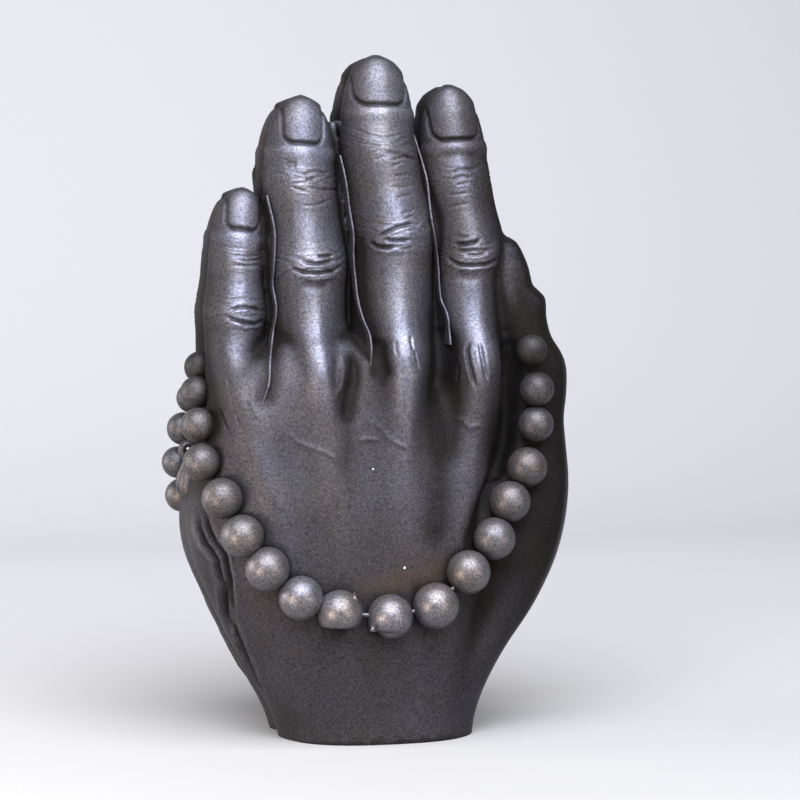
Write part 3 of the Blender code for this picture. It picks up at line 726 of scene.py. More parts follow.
# Swollen joints, tendons and knuckles: how wide each is, and the heights where tendons come
# in and where all of it gives way to the fingers
SWELL_WIDTH = 1.6
SWELL_FROM = 0.4
TENDON_WIDTH = 2.3
TENDON_START = (26, 50)
KNUCKLE_WIDTH = 4.2
KNUCKLE_LENGTH = 5.5
BACK_TOP = (78, 70)
# No relief of the back or the fingers on the thumb, and none on skin that faces the seam
THUMB_CLEAR = (27.5, 26.0)
LOOKS_OUT = (0.25, -0.25)

# Wear of the paint, with painted shade and highlight: its share on the back of the hand, what the
# fingers gain by wear, what the thumb's outer side gains as a painted highlight, what the thumb
# and skin turned sideways or left lose as painted shade, what the nails lose, how it darkens
# towards the wrist, and what a millimetre of crest or of relief adds, with hollows and creases
# taking painted shade
CREST_ROUNDS = 70
CREST_SPAN = (-0.8, 0.6)
RELIEF_SPAN = (-0.9, 0.30)
WEAR_BASE = 0.33
WEAR_FINGERS = 0.30
THUMB_PAINTED_SHADE = 0.50
LEFT_FACING_PAINTED_SHADE = 0.22
THUMB_OUTER_PAINTED_HIGHLIGHT = 0.85
SIDE_FACING_PAINTED_SHADE = 0.48
WEAR_NAILS = 0.27
WRIST_DARKENING = 0.04
WEAR_CREST = 0.75
HOLLOW_PAINTED_SHADE = 1.5
RELIEF_WEAR_AND_SHADE = 0.45

# From where to where each share of the wear and of the painted shade and highlight comes in:
# heights z, places x across the hand, and how far the skin faces the back (y) or the thumb (x)
UP_THE_FINGERS = (56, 84)
UP_THE_SIDES = (34, 60)
UP_THE_LEFT = (50, 66)
UP_THE_THUMB = (-10, 45)
DOWN_THE_THUMB = (100, 60)
DOWN_THE_WRIST = (34, 18)
BESIDE_THE_THUMB = (26, 23)
TOWARDS_THE_THUMB = (8, 27)
OVER_THE_THUMB = (16, 24)
TURNS_SIDEWAYS = (-0.92, -0.35)
TURNS_LEFT = (-0.25, -0.60)
TURNS_TO_THUMB = (0.60, 0.95)
ACROSS_NAIL_RIM = (0.2, -0.4)
# A shade round a line reaches this many times its half width
BAND_REACH = 3

# Painted shade along valleys and grooves of the hand, and painted light where the depth is below
# 0:
# line (x, z), half width and depth of the shade
PAINTED_SHADE_BANDS = (
    (((9.9, 78.0), (9.8, 68.0), (9.3, 60.0), (8.8, 50.0), (8.0, 40.0)), 2.4, 0.32),
    (
        ((23.6, 76.6), (23.8, 62.7), (23.2, 55.5), (21.5, 50.1), (18.2, 45.1), (14.9, 38.0)),
        1.7,
        0.8,
    ),
    (((-5.9, 74.3), (-5.9, 66.0), (-7.6, 58.5), (-8.6, 50.0)), 1.5, 0.2),
    (((-3.6, 91.0), (-3.4, 84.0), (-3.0, 77.0), (-1.8, 69.0)), 1.9, 0.3),
    (((15.2, 85.0), (15.4, 78.0), (17.2, 72.0)), 3.0, -0.30),
)

# A bronze stain runs over the skin above the lowest beads: line (x, z), how far it reaches,
# its share, and how it fades along the line to what is left at its ends
STAIN_LINE = ((-8.0, 28.8), (-5.2, 29.6), (-1.2, 30.9), (3.3, 32.0), (7.1, 33.0), (12.0, 34.2))
STAIN_REACH = 2.0
STAIN_SHARE = 0.55
STAIN_FADE = 6.0
STAIN_ENDS = 0.2


def mesh_edges(data):
    edges = np.empty(len(data.edges) * 2, int)
    data.edges.foreach_get("vertices", edges)
    return edges.reshape(-1, 2)


def rounds_at(rounds):
    """Rounds that smooth as far on this mesh as these do at the reference voxel."""
    return round(rounds * (ROUNDS_VOXEL / FUSE_VOXEL) ** 2)


def soften(obj):
    """Smooths the clay: lightly on the fingers, and well where they run into the hand."""
    points = read_vectors(obj.data.vertices, "co")
    edges = mesh_edges(obj.data)
    x, height = points[:, 0] / MM, points[:, 2] / MM
    below = np.maximum(ramp(x, *SOFT_BESIDE_THUMB), ramp(height, *SOFT_WRIST))
    palm = ramp(height, *SOFT_BELOW) * below
    even = np.full(len(points), EVEN_WEIGHT)
    points = relax(points, edges, rounds_at(EVEN_ROUNDS), even)
    points = relax(points, edges, rounds_at(SOFTEN_ROUNDS), SOFTEN_WEIGHT * palm)
    obj.data.vertices.foreach_set("co", points.ravel())
    obj.data.update()


def along_bone(points, start, end):
    """Distance from start along a bone, and to its thumb side, in millimetres."""
    along = (end - start) / np.linalg.norm(end - start)
    offset = points[:, [0, 2]] - start
    return offset @ along / MM, offset @ np.array([along[1], -along[0]]) / MM


def nail_edge(finger, points):
    """Distance outside the nail's rim, and down from the fingertip, in millimetres."""
    joints = finger_joints(finger)
    down, across = along_bone(points, joints[4], joints[3])
    half_width, length = finger.nail[0] / 2, finger.nail[1]
    corner = NAIL_CORNER * half_width
    beside = np.abs(across) - half_width * (1 - NAIL_TAPER * down / length) + corner
    below = down - length + corner
    outside = np.hypot(np.maximum(beside, 0), np.maximum(below, 0))
    return outside + np.minimum(np.maximum(beside, below), 0) - corner, down


def nail_relief(finger, points):
    """A nail in its crease: a raised plate to the tip, and swollen skin below its base."""
    edge, down = nail_edge(finger, points)
    held = ramp(down, *GROOVE_FROM)
    relief = NAIL_RISE * ramp(edge, *NAIL_SLOPE)
    relief = relief - NAIL_GROOVE * bump(edge - GROOVE_OUT, GROOVE_WIDTH) * held
    below = down - finger.nail[1]
    return relief + NAIL_FOLD * bump(below - FOLD_BELOW, FOLD_WIDTH) * ramp(below, *FOLD_FROM)


def line_distance(places, line):
    """Distance in millimetres from each place to a line, and how far along it that is."""
    best = np.full(len(places), np.inf)
    share = np.zeros(len(places))
    steps = np.linalg.norm(np.diff(line, axis=0), axis=1)
    total, gone = steps.sum(), 0.0
    for start, end, step in zip(line, line[1:], steps):
        way = (end - start) / step
        along = np.clip((places - start) @ way, 0, step)
        away = np.linalg.norm(places - start - along[:, None] * way, axis=1)
        nearer = away < best
        best[nearer] = away[nearer]
        share[nearer] = (gone + along[nearer]) / total
        gone += step
    return best, share


def along_line(points, line, reach):
    """The points within reach of a line: their indices, distances and shares along it."""
    line = np.array(line)
    places = points / MM if line.shape[1] == 3 else points[:, [0, 2]] / MM
    low, high = line.min(axis=0) - reach, line.max(axis=0) + reach
    near = np.flatnonzero(((places > low) & (places < high)).all(axis=1))
    away, share = line_distance(places[near], line)
    return near, away, share


def stroke_relief(points):
    """All the drawn creases, grooves and veins, tapered at their ends."""
    relief = np.zeros(len(points))
    for lines, height, width, lip in STROKES:
        for line in lines:
            near, away, share = along_line(points, line, STROKE_REACH * width)
            taper = np.clip(STROKE_FADE * share * (1 - share), STROKE_ENDS, 1.0)
            lips = bump(away - LIP_OUT * width, LIP_WIDTH * width)
            relief[near] += (height * bump(away, width) + lip * lips) * taper
    x, z = points[:, 0] / MM, points[:, 2] / MM
    for left, up, height, radius in LUMPS:
        relief += height * bump(np.hypot(x - left, z - up), radius)
    return relief


def wrinkle_relief(finger, points):
    """Fine folds of skin across a finger, over its middle joint and its end joint."""
    joints = finger_joints(finger)
    relief = np.zeros(len(points))
    for joint, spread, depth in WRINKLES:
        up, across = along_bone(points, joints[joint], joints[joint + 1])
        beside = np.abs(across) < finger.width * WRINKLE_REACH
        near = np.flatnonzero((np.abs(up) < 2 * spread) & beside)
        bend = WRINKLE_BOW * across[near] ** 2
        folds = [
            noise.noise(Vector((a * WRINKLE_ACROSS, (u - b) * WRINKLE_ALONG, finger.width)))
            for a, u, b in zip(across[near], up[near], np.sign(up[near]) * bend)
        ]
        folds = -np.abs(np.array(folds)) ** WRINKLE_EDGE
        relief[near] += depth * (folds + WRINKLE_SKIN) * bump(up[near], spread)
    return relief


def back_relief(points):
    """Tendons that fan from the wrist to the knuckles, under the skin of the back."""
    relief = np.zeros(len(points))
    height = points[:, 2] / MM
    for finger in FINGERS:
        joints = finger_joints(finger)
        up, across = along_bone(points, joints[0], joints[1])
        relief += TENDON_RISE * bump(across, TENDON_WIDTH) * ramp(height, *TENDON_START)
        knuckle = bump(across, KNUCKLE_WIDTH) * bump(height - finger.knuckle[1], KNUCKLE_LENGTH)
        relief += KNUCKLE_RISE * knuckle
    return relief * ramp(height, *BACK_TOP)


def finger_owners(points):
    """For each finger, which points are nearest to its bones."""
    shares = []
    for finger in FINGERS:
        joints = finger_joints(finger)
        share = np.full(len(points), np.inf)
        for start, end in zip(joints[1:], joints[2:]):
            up, across = along_bone(points, start, end)
            beyond = np.maximum(np.maximum(-up, up - np.linalg.norm(end - start) / MM), 0)
            share = np.minimum(share, np.hypot(across, beyond) / finger.width)
        shares.append(share)
    nearest = np.argmin(shares, axis=0)
    above = [points[:, 2] > (finger.knuckle[1] + 3) * MM for finger in FINGERS]
    return [(nearest == index) & above[index] for index in range(len(FINGERS))]


def refine(obj):
    """Splits the faces near nails and creases, so that the relief there is crisp."""
    points = read_vectors(obj.data.vertices, "co")
    wanted = np.zeros(len(points), bool)
    for lines, _, width, _ in STROKES[:FINE_STROKES]:
        for line in lines:
            near, away, _ = along_line(points, line, BAND_REACH * width)
            wanted[near[away < FINE_REACH * width]] = True
    for finger, mine in zip(FINGERS, finger_owners(points)):
        edge, down = nail_edge(finger, points)
        wanted |= mine & (np.abs(edge) < FINE_BY_NAIL) & (down > -1)
        joints = finger_joints(finger)
        for joint, spread, _ in WRINKLES:
            up, _ = along_bone(points, joints[joint], joints[joint + 1])
            wanted |= mine & (np.abs(up) < FINE_WRINKLES * spread)
    wanted &= points[:, 1] < -FINE_FROM_SEAM
    mesh = bmesh.new()
    mesh.from_mesh(obj.data)
    mesh.verts.ensure_lookup_table()
    edges = [e for e in mesh.edges if wanted[e.verts[0].index] and wanted[e.verts[1].index]]
    bmesh.ops.subdivide_edges(mesh, edges=edges, cuts=DETAIL_CUTS, use_grid_fill=True)
    mesh.to_mesh(obj.data)
    mesh.free()


def store(data, name, values):
    layer = data.attributes.get(name) or data.attributes.new(name, "FLOAT", "POINT")
    layer.data.foreach_set("value", values.astype(np.float32))


def stored(data, name):
    values = np.empty(len(data.vertices), np.float32)
    data.attributes[name].data.foreach_get("value", values)
    return values


def mark_crests(obj):
    """Stores how far each point stands out from the forms round it, in millimetres."""
    points = read_vectors(obj.data.vertices, "co")
    normals = read_vectors(obj.data.vertices, "normal")
    even = np.full(len(points), EVEN_WEIGHT)
    smooth = relax(points, mesh_edges(obj.data), rounds_at(CREST_ROUNDS), even)
    store(obj.data, "crest", ((points - smooth) * normals).sum(axis=1) / MM)


def wear_and_painted_shade(points, normals, crest, relief):
    """How far the paint is rubbed bright: 0 in hollows and 1 on crests that hands touch. The same
    value paints shade in hollows, creases and grooves, on the thumb and on skin turned sideways
    or left. It also paints a highlight on the thumb's outer side, and darkens towards the wrist.
    """
    x, z = points[:, 0] / MM, points[:, 2] / MM
    faces_thumb, faces_back = normals[:, 0], normals[:, 1]
    rubbed = WEAR_BASE + WEAR_FINGERS * ramp(z, *UP_THE_FINGERS) * ramp(x, *BESIDE_THE_THUMB)
    # Painted shade over the thumb
    rubbed -= THUMB_PAINTED_SHADE * ramp(x, *TOWARDS_THE_THUMB) * ramp(z, *UP_THE_THUMB)
    # Darker towards the foot of the wrist
    rubbed -= WRIST_DARKENING * ramp(z, *DOWN_THE_WRIST)
    # Painted shade on skin turned sideways from the back
    rubbed -= SIDE_FACING_PAINTED_SHADE * ramp(faces_back, *TURNS_SIDEWAYS) * ramp(z, *UP_THE_SIDES)
    # Painted shade on skin turned to the left
    rubbed -= LEFT_FACING_PAINTED_SHADE * ramp(faces_thumb, *TURNS_LEFT) * ramp(z, *UP_THE_LEFT)
    # A painted highlight on the side of the thumb that faces outwards
    outer = ramp(faces_thumb, *TURNS_TO_THUMB) * ramp(x, *OVER_THE_THUMB)
    rubbed += THUMB_OUTER_PAINTED_HIGHLIGHT * outer * ramp(z, *DOWN_THE_THUMB)
    rubbed += WEAR_CREST * np.clip(crest, 0.0, CREST_SPAN[1])
    # Painted shade in the hollows
    rubbed += HOLLOW_PAINTED_SHADE * np.clip(crest, CREST_SPAN[0], 0.0)
    # Painted shade in carved creases and grooves; raised relief is rubbed brighter
    rubbed += RELIEF_WEAR_AND_SHADE * np.clip(relief, *RELIEF_SPAN)
    for finger, mine in zip(FINGERS, finger_owners(points)):
        edge, _ = nail_edge(finger, points)
        rubbed -= WEAR_NAILS * mine * ramp(edge, *ACROSS_NAIL_RIM)
    # Painted shade along valleys and grooves, and painted light where a band's depth is below 0
    for line, width, depth in PAINTED_SHADE_BANDS:
        near, away, _ = along_line(points, line, BAND_REACH * width)
        rubbed[near] -= depth * bump(away, width)
    return np.clip(rubbed, 0.0, 1.0)


def stain(points):
    """How far the bronze stain above the lowest beads covers the paint."""
    covered = np.zeros(len(points))
    near, away, share = along_line(points, STAIN_LINE, BAND_REACH * STAIN_REACH)
    fade = np.clip(STAIN_FADE * share * (1 - share), STAIN_ENDS, 1)
    covered[near] = STAIN_SHARE * bump(away, STAIN_REACH) * fade
    return covered


def carve(obj):
    """Moves the skin out and in for nails, folds, knuckles, tendons and veins."""
    points = read_vectors(obj.data.vertices, "co")
    normals = read_vectors(obj.data.vertices, "normal")
    x = points[:, 0] / MM
    relief = back_relief(points)
    for finger, mine in zip(FINGERS, finger_owners(points)):
        joints = finger_joints(finger)
        up, across = along_bone(points, joints[2], joints[3])
        middle = ramp(np.abs(across), finger.width * SWELL_FROM, 1.0)
        swell = JOINT_SWELL * bump(up, SWELL_WIDTH) * middle
        swell += wrinkle_relief(finger, points)
        relief += np.where(mine, nail_relief(finger, points) + swell, 0.0)
    looks_out = ramp(normals[:, 1], *LOOKS_OUT)
    relief = relief * ramp(x, *THUMB_CLEAR) + stroke_relief(points)
    # The paint's wear, with painted shade and highlight in the same value
    rubbed = wear_and_painted_shade(points, normals, stored(obj.data, "crest"), relief * looks_out)
    store(obj.data, "rubbed", rubbed)
    store(obj.data, "stained", stain(points) * looks_out)
    points = points + normals * (relief * looks_out * MM)[:, None]
    obj.data.vertices.foreach_set("co", points.ravel())
    obj.data.update()


def near_hand(collection):
    """The clay of the near hand, still whole across the seam and down past the base."""
    forms = [limb("hand_body", hand_body_rows(), (0, -1, 0), BODY_SQUARENESS)]
    fingers = [finger_rows(finger) for finger in FINGERS]
    for finger, rows in zip(FINGERS, fingers):
        forms.append(limb(finger.name, rows, (0, -1, 0), FINGER_SQUARENESS))
    for near, far, span in zip(fingers, fingers[1:], CLEFTS):
        for half_width, reach in CLEFT_SKINS:
            rows = cleft_rows(near, far, *span, half_width, reach)
            forms.append(limb("cleft", rows, (0, -1, 0), BODY_SQUARENESS))
    forms.append(limb("thumb", scaled(THUMB), (1, 0, 0), THUMB_SQUARENESS))
    forms.append(limb("thumb_web", scaled(THUMB_WEB), (1, 0, 0), THUMB_SQUARENESS))
    forms.append(limb("heel_pad", scaled(HEEL_PAD), (-1, 0, 0), OVAL))
    hand = joined("near_hand", forms, collection)
    fuse(hand, FUSE_VOXEL)
    soften(hand)
    mark_crests(hand)
    if DETAIL_CUTS:
        refine(hand)
    carve(hand)
    return hand


# Points this near to a cut count as on it
ON_THE_CUT = 1e-7
AT_THE_RIM = 1e-6


def trim(obj):
    """Cuts the clay flat under the wrist and open at the seam."""
    mesh = bmesh.new()
    mesh.from_mesh(obj.data)
    everything = mesh.verts[:] + mesh.edges[:] + mesh.faces[:]
    bmesh.ops.bisect_plane(
        mesh,
        geom=everything,
        dist=ON_THE_CUT,
        plane_co=(0, 0, 0),
        plane_no=(0, 1, 0),
        clear_outer=True,
    )
    everything = mesh.verts[:] + mesh.edges[:] + mesh.faces[:]
    bmesh.ops.bisect_plane(
        mesh,
        geom=everything,
        dist=ON_THE_CUT,
        plane_co=(0, 0, BASE_HEIGHT),
        plane_no=(0, 0, -1),
        clear_outer=True,
    )
    bmesh.ops.translate(mesh, vec=(0, 0, -BASE_HEIGHT), verts=mesh.verts)
    open_edges = [edge for edge in mesh.edges if edge.is_boundary]
    rim = [edge for edge in open_edges if all(v.co.z < AT_THE_RIM for v in edge.verts)]
    foot = [vert for vert in mesh.verts if vert.co.z < AT_THE_RIM]
    ends = [vert for vert in foot if abs(vert.co.y) < AT_THE_RIM]
    ends.sort(key=lambda v: v.co.x)
    if len(ends) > 1:
        rim.append(mesh.edges.new((ends[0], ends[-1])))
        bmesh.ops.edgenet_fill(mesh, edges=rim)
    mesh.to_mesh(obj.data)
    mesh.free()
    round_off(obj.data)


def mirrored(obj, name):
    """The same mesh on the far side of the seam."""
    data = obj.data.copy()
    data.transform(Matrix.Scale(-1, 4, (0, 1, 0)))
    data.flip_normals()
    return placed(name, data, obj.users_collection[0])


def seat(surface, place, radius, proud):
    """Where a bead rests on the hand nearest to a place, kept level with that place."""
    ask = place
    for _ in range(4):
        touch, normal, _, _ = surface.find_nearest(ask)
        centre = touch + normal * radius * proud
        slip = Vector((place.x - centre.x, 0.0, place.z - centre.z))
        ask = touch + slip - normal * slip.dot(normal)
    return centre


# A bead: its segments and rings, how uneven it is, and how closely its lumps follow
SMOOTH_BEAD = (32, 20)
BEAD_UNEVEN = 0.012
BEAD_LUMPS = 1.7
# The cord between beads
CORD_SIDES = 10
CORD_RADIUS = 0.35 * MM
# The beads between which the cord is seen
CORD_SHOWS = slice(6, 11)
# Scraps of flash beside the lowest beads: place and size; each is a rough little pyramid
FLASH_SIDES = 6
FLASH_ROUGH = 0.3
FLASH_BITS = (
    (-7.6, -22.4, 29.3, 2.0),
    (-4.6, -23.6, 24.0, 1.3),
)
# How rubbed the beads are at heights up the string, less on the higher beads as painted shade,
# the share of it left next to the skin as a painted contact shadow, and from where to where off
# the skin it comes in
BEAD_WEAR_AND_SHADE = ((30, 1.0), (44, 0.72), (64, 0.55), (68, 0.20))
BEAD_CONTACT_SHADOW = 0.05
BEAD_CLEAR = (0.2, 1.8)
# A painted shadow: the dark ring on the skin round each bead
BEAD_SHADOW_DEPTH = 0.60
BEAD_SHADOW_REACH = 1.1
# How rubbed the fins and the pendant are
FIN_WEAR = 0.6


def bead(mesh, place, radius, fault=None):
    """A slightly uneven ball, with the shape of its casting fault if it has one."""
    made = bmesh.ops.create_uvsphere(
        mesh, u_segments=SMOOTH_BEAD[0], v_segments=SMOOTH_BEAD[1], radius=1.0
    )
    for vert in made["verts"]:
        way = vert.co.copy()
        size = 1 + BEAD_UNEVEN * noise.noise(way * BEAD_LUMPS + place / (3 * MM))
        if fault:
            size *= fault(way)
        vert.co = place + way * size * radius
    return made["verts"]


def paint_bead_shadow_rings(data, places):
    """Paints a shadow on the skin in the ring where each bead meets it."""
    points = read_vectors(data.vertices, "co")
    rubbed = stored(data, "rubbed")
    for place, radius in places:
        away = np.linalg.norm(points - np.array(place), axis=1) - radius
        rubbed -= BEAD_SHADOW_DEPTH * ramp(away / MM, BEAD_SHADOW_REACH, 0.0)
    store(data, "rubbed", np.clip(rubbed, 0.0, 1.0))


def bead_wear_and_shade(data, surface):
    """Marks the paint of beads: bright where they stand out, with painted shade on the higher
    beads and a painted contact shadow next to the skin.
    """
    away = np.array([surface.find_nearest(vert.co)[3] / MM for vert in data.vertices])
    height = read_vectors(data.vertices, "co")[:, 2] / MM
    share = np.interp(height, *zip(*BEAD_WEAR_AND_SHADE))
    store(data, "rubbed", share * (BEAD_CONTACT_SHADOW + (1 - BEAD_CONTACT_SHADOW) * ramp(away, *BEAD_CLEAR)))
    points = read_vectors(data.vertices, "co")
    store(data, "stained", stain(points) * (points[:, 1] < 0))


def bead_cord(mesh, places):
    """The cord, which shows as short bits where two beads stand apart."""
    for (start, _), (end, _) in zip(places, places[1:]):
        way = end - start
        turn = way.to_track_quat("Z", "Y").to_matrix().to_4x4()
        bmesh.ops.create_cone(
            mesh,
            segments=CORD_SIDES,
            radius1=CORD_RADIUS,
            radius2=CORD_RADIUS,
            depth=way.length,
            matrix=Matrix.Translation((start + end) / 2) @ turn,
        )


def flash(mesh, place, size):
    """A small pointed scrap of casting flash."""
    made = bmesh.ops.create_cone(
        mesh, cap_ends=True, segments=FLASH_SIDES, radius1=size / 2, radius2=0.0, depth=size
    )
    for vert in made["verts"]:
        vert.co = place + vert.co * (1 + FLASH_ROUGH * noise.noise(vert.co / size))


# Faulty beads, in shares of their radius: how far below the middle the flat underside is,
# its bubbles' height and closeness, and the second lump's height, spread and side shift
FLAT_AT = 0.60
FLAT_BUBBLES = 0.05
FLAT_CLOSE = 7.0
DOUBLE_AT = 0.56
DOUBLE_BUBBLES = 0.03
DOUBLE_CLOSE = 6.0
LUMP_HEIGHT = 0.42
LUMP_SPREAD = 0.62
LUMP_ASIDE = 0.08
LUMP_MOST = 1.12
# Above these heights a ball keeps its shape
FLAT_FROM = -0.55
DOUBLE_FROM = -0.50


def flat_bottom(way):
    """The mould did not fill: the ball ends in a flat, bubbled underside."""
    if way.z > FLAT_FROM:
        return 1.0
    bubbles = FLAT_BUBBLES * noise.noise(way * FLAT_CLOSE)
    return min(1.0, (FLAT_AT + bubbles) / -way.z)


def double_bottom(way):
    """A flat underside with a second, smaller lump below it."""
    if way.z > DOUBLE_FROM:
        return 1.0
    aside = (way.x - LUMP_ASIDE) ** 2 + way.y**2
    lump = LUMP_HEIGHT * max(0.0, 1 - aside / LUMP_SPREAD)
    bubbles = DOUBLE_BUBBLES * noise.noise(way * DOUBLE_CLOSE)
    return min(LUMP_MOST, (DOUBLE_AT + lump + bubbles) / -way.z)


FAULTS = {8: double_bottom, 9: flat_bottom}


def bead_places(surface, beads):
    """The centre and radius of each bead of a string, as if on the near hand."""
    places = []
    for x, y, z, radius in beads:
        place = Vector((x, y, z)) * MM
        if y < -FREE_NEAR_SEAM:
            place = seat(surface, place, radius * MM, BEAD_PROUD)
        places.append((place, radius * MM))
    return places


def bead_string(surface, near_places, far_places, collection):
    """All the beads of both hands, with the bead over the seam."""
    mesh = bmesh.new()
    for index, (place, radius) in enumerate(near_places):
        bead(mesh, place, radius, FAULTS.get(index))
    bead_cord(mesh, near_places[CORD_SHOWS])
    for x, y, z, size in FLASH_BITS:
        flash(mesh, Vector((x, y, z)) * MM, size * MM)
    for place, radius in far_places:
        bead(mesh, place * Vector((1, -1, 1)), radius)
    x, y, z, radius = CROSSING_BEAD
    bead(mesh, Vector((x, y, z)) * MM, radius * MM)
    data = kept("bead_string", mesh)
    bead_wear_and_shade(data, surface)
    lower(data)
    round_off(data)
    return placed("bead_string", data, collection)


# Chips in the paint that show white plaster: place (x, z) and radius
CHIPS = (
    (2.3, 33.7, 0.19),
    (-3.2, 51.2, 0.13),
)
# The hand's skin is looked for from this far in front of the seam
IN_FRONT = 50


def plaster_chips(surface, collection):
    """Small knobs of bare plaster that stand just proud of the paint."""
    mesh = bmesh.new()
    for x, z, radius in CHIPS:
        touch, _, _, _ = surface.ray_cast(Vector((x, -IN_FRONT, z)) * MM, Vector((0, 1, 0)))
        made = bmesh.ops.create_icosphere(mesh, subdivisions=2, radius=radius * MM)
        bmesh.ops.translate(mesh, vec=touch, verts=made["verts"])
    data = kept("plaster_chips", mesh)
    lower(data)
    return placed("plaster_chips", data, collection)


PLASTER_TONE = (0.72, 0.70, 0.66, 1)
PLASTER_ROUGHNESS = 0.85


def plaster():
    bare = Finish("bare_plaster")
    bare.shade({"Base Color": PLASTER_TONE, "Roughness": PLASTER_ROUGHNESS})
    return bare.material


# The small bead's ring is drawn out along the hand, and the smoothness of ring, drops and cord
PENDANT_STRETCH = 1.7
PENDANT_RING = (32, 16)
DROP_POINTS = 16
CORD_POINTS = 12


def pendant(collection):
    """The small drilled bead under the crossing, with its cord and two drops."""
    x, _, z, radius = PENDANT_BEAD
    bpy.ops.mesh.primitive_torus_add(
        major_radius=(radius * MM + PENDANT_HOLE_RADIUS) / 2,
        minor_radius=(radius * MM - PENDANT_HOLE_RADIUS) / 2,
        major_segments=PENDANT_RING[0],
        minor_segments=PENDANT_RING[1],
        location=(x * MM, 0, z * MM),
        rotation=(math.pi / 2, 0, 0),
    )
    ring = bpy.context.object
    ring.data.transform(Matrix.Scale(PENDANT_STRETCH, 4, (0, 0, 1)))
    meshes = [ring.data.copy()]
    meshes[0].transform(ring.matrix_world)
    bpy.data.objects.remove(ring)
    for side in (1, -1):
        drop = limb("drop", scaled(PENDANT_DROP), (-1, 0, 0), OVAL, DROP_POINTS)
        if side < 0:
            drop.transform(Matrix.Scale(-1, 4, (0, 1, 0)))
            drop.flip_normals()
        meshes.append(drop)
    meshes.append(limb("cord", scaled(PENDANT_CORD), (-1, 0, 0), OVAL, CORD_POINTS))
    obj = joined("pendant", meshes, collection)
    lower(obj.data)
    round_off(obj.data)
    return obj


# Flash: thin fins that the mould left between the fingers, as crest lines (x, y, z)
FINS = (
    (
        (-19.7, -7.1, 99.4), (-19.3, -7.8, 96.8), (-18.8, -8.6, 93.2), (-19.0, -9.3, 87.6),
        (-19.1, -8.4, 83.5), (-18.6, -9.1, 79.4), (-19.2, -8.7, 74.6), (-20.6, -13.3, 69.5),
        (-21.1, -14.6, 66.0), (-21.9, -15.2, 63.8), (-22.5, -15.7, 62.1),
    ),
    (
        (-6.2, -6.3, 106.7), (-5.4, -6.7, 102.2), (-4.8, -7.2, 96.9), (-4.3, -8.2, 91.9),
        (-4.3, -8.0, 88.8), (-4.0, -8.3, 84.4), (-3.8, -9.3, 80.8), (-3.3, -11.6, 77.3),
        (-2.7, -13.7, 74.7), (-2.6, -14.8, 72.0), (-2.9, -15.4, 68.2),
    ),
    (
        (7.0, -4.6, 113.0), (8.2, -5.2, 108.6), (9.1, -5.8, 105.1), (9.5, -7.0, 102.4),
        (9.6, -8.7, 97.8), (9.6, -10.2, 95.1), (10.0, -10.2, 93.0), (11.1, -8.8, 87.6),
        (11.4, -8.9, 82.9), (11.6, -9.2, 80.9), (12.3, -10.6, 78.4), (12.5, -11.8, 75.4),
        (12.5, -13.1, 72.8),
    ),
)
# How deep a fin reaches, half its width at its crest and foot, and how finely it is made
FIN_DEPTH = 4.0
FIN_CREST = 0.13
FIN_FOOT = 0.30
FIN_STEP = 0.35
# How uneven a fin's crest is and how closely, and how its ends sink: how deep, over what share
FIN_WAVES = 0.16
FIN_CLOSE = 0.5
FIN_END_DEPTH = 0.8
FIN_END_SHARE = 0.1


def fin(line):
    """One fin: a thin sheet out of the cleft, with an uneven crest."""
    rows = smooth_rows(line, FIN_STEP)
    mesh = bmesh.new()
    rings = []
    for index, (x, y, z) in enumerate(rows):
        share = index / (len(rows) - 1)
        sunk = FIN_END_DEPTH * max(0.0, 1 - min(share, 1 - share) / FIN_END_SHARE)
        y += sunk + FIN_WAVES * noise.noise(Vector((x, z, 3.0)) * FIN_CLOSE)
        rings.append(
            [
                mesh.verts.new(Vector(place) * MM)
                for place in (
                    (x - FIN_FOOT, y + FIN_DEPTH, z),
                    (x - FIN_CREST, y, z),
                    (x + FIN_CREST, y, z),
                    (x + FIN_FOOT, y + FIN_DEPTH, z),
                )
            ]
        )
    return lofted("fin", mesh, rings)


# Where a Mix node keeps its sockets for colours
MIX_FACTOR = 0
MIX_FIRST = 6
MIX_SECOND = 7
MIX_RESULT = 2


class Tone:
    """A socket of a finish's node tree; arithmetic on it adds the nodes that work it out."""

    def __init__(self, finish, socket):
        self.finish = finish
        self.socket = socket

    def mixed(self, blend, other, share=1.0):
        """Two colours through a Mix node."""
        settings = {"data_type": "RGBA", "blend_type": blend}
        sockets = {MIX_FACTOR: share, MIX_FIRST: self, MIX_SECOND: other}
        return self.finish.node("Mix", settings, sockets, MIX_RESULT)

    def worked_out(self, operation, other):
        if self.socket.type == "RGBA":
            return self.mixed(operation, other)
        return self.finish.node("Math", {"operation": operation}, {0: self, 1: other})

    def __mul__(self, other):
        return self.worked_out("MULTIPLY", other)

    def __add__(self, other):
        return self.worked_out("ADD", other)

    __rmul__ = __mul__
    __radd__ = __add__


class Finish:
    """One material: its node tree, and the shader that the tree feeds."""

    def __init__(self, name):
        self.material = bpy.data.materials.new(name)
        self.material.use_nodes = True
        self.tree = self.material.node_tree
        self.shader = self.tree.nodes["Principled BSDF"]

    def feed(self, node, sockets):
        """Sets or links a node's inputs, by name or by number."""
        for key, value in sockets.items():
            if isinstance(value, Tone):
                self.tree.links.new(value.socket, node.inputs[key])
            else:
                node.inputs[key].default_value = value

    def node(self, kind, settings, sockets, output=0):
        """Adds a node and gives one of its outputs. The stops of a ramp are (place, colour)."""
        made = self.tree.nodes.new("ShaderNode" + kind)
        for name, value in settings.items():
            if name == "stops":
                for _ in value[2:]:
                    made.color_ramp.elements.new(0.5)
                for element, (place, colour) in zip(made.color_ramp.elements, value):
                    element.position, element.color = place, colour
            else:
                setattr(made, name, value)
        self.feed(made, sockets)
        return Tone(self, made.outputs[output])

    def shade(self, sockets):
        self.feed(self.shader, sockets)


def grey(value):
    return (value, value, value, 1)


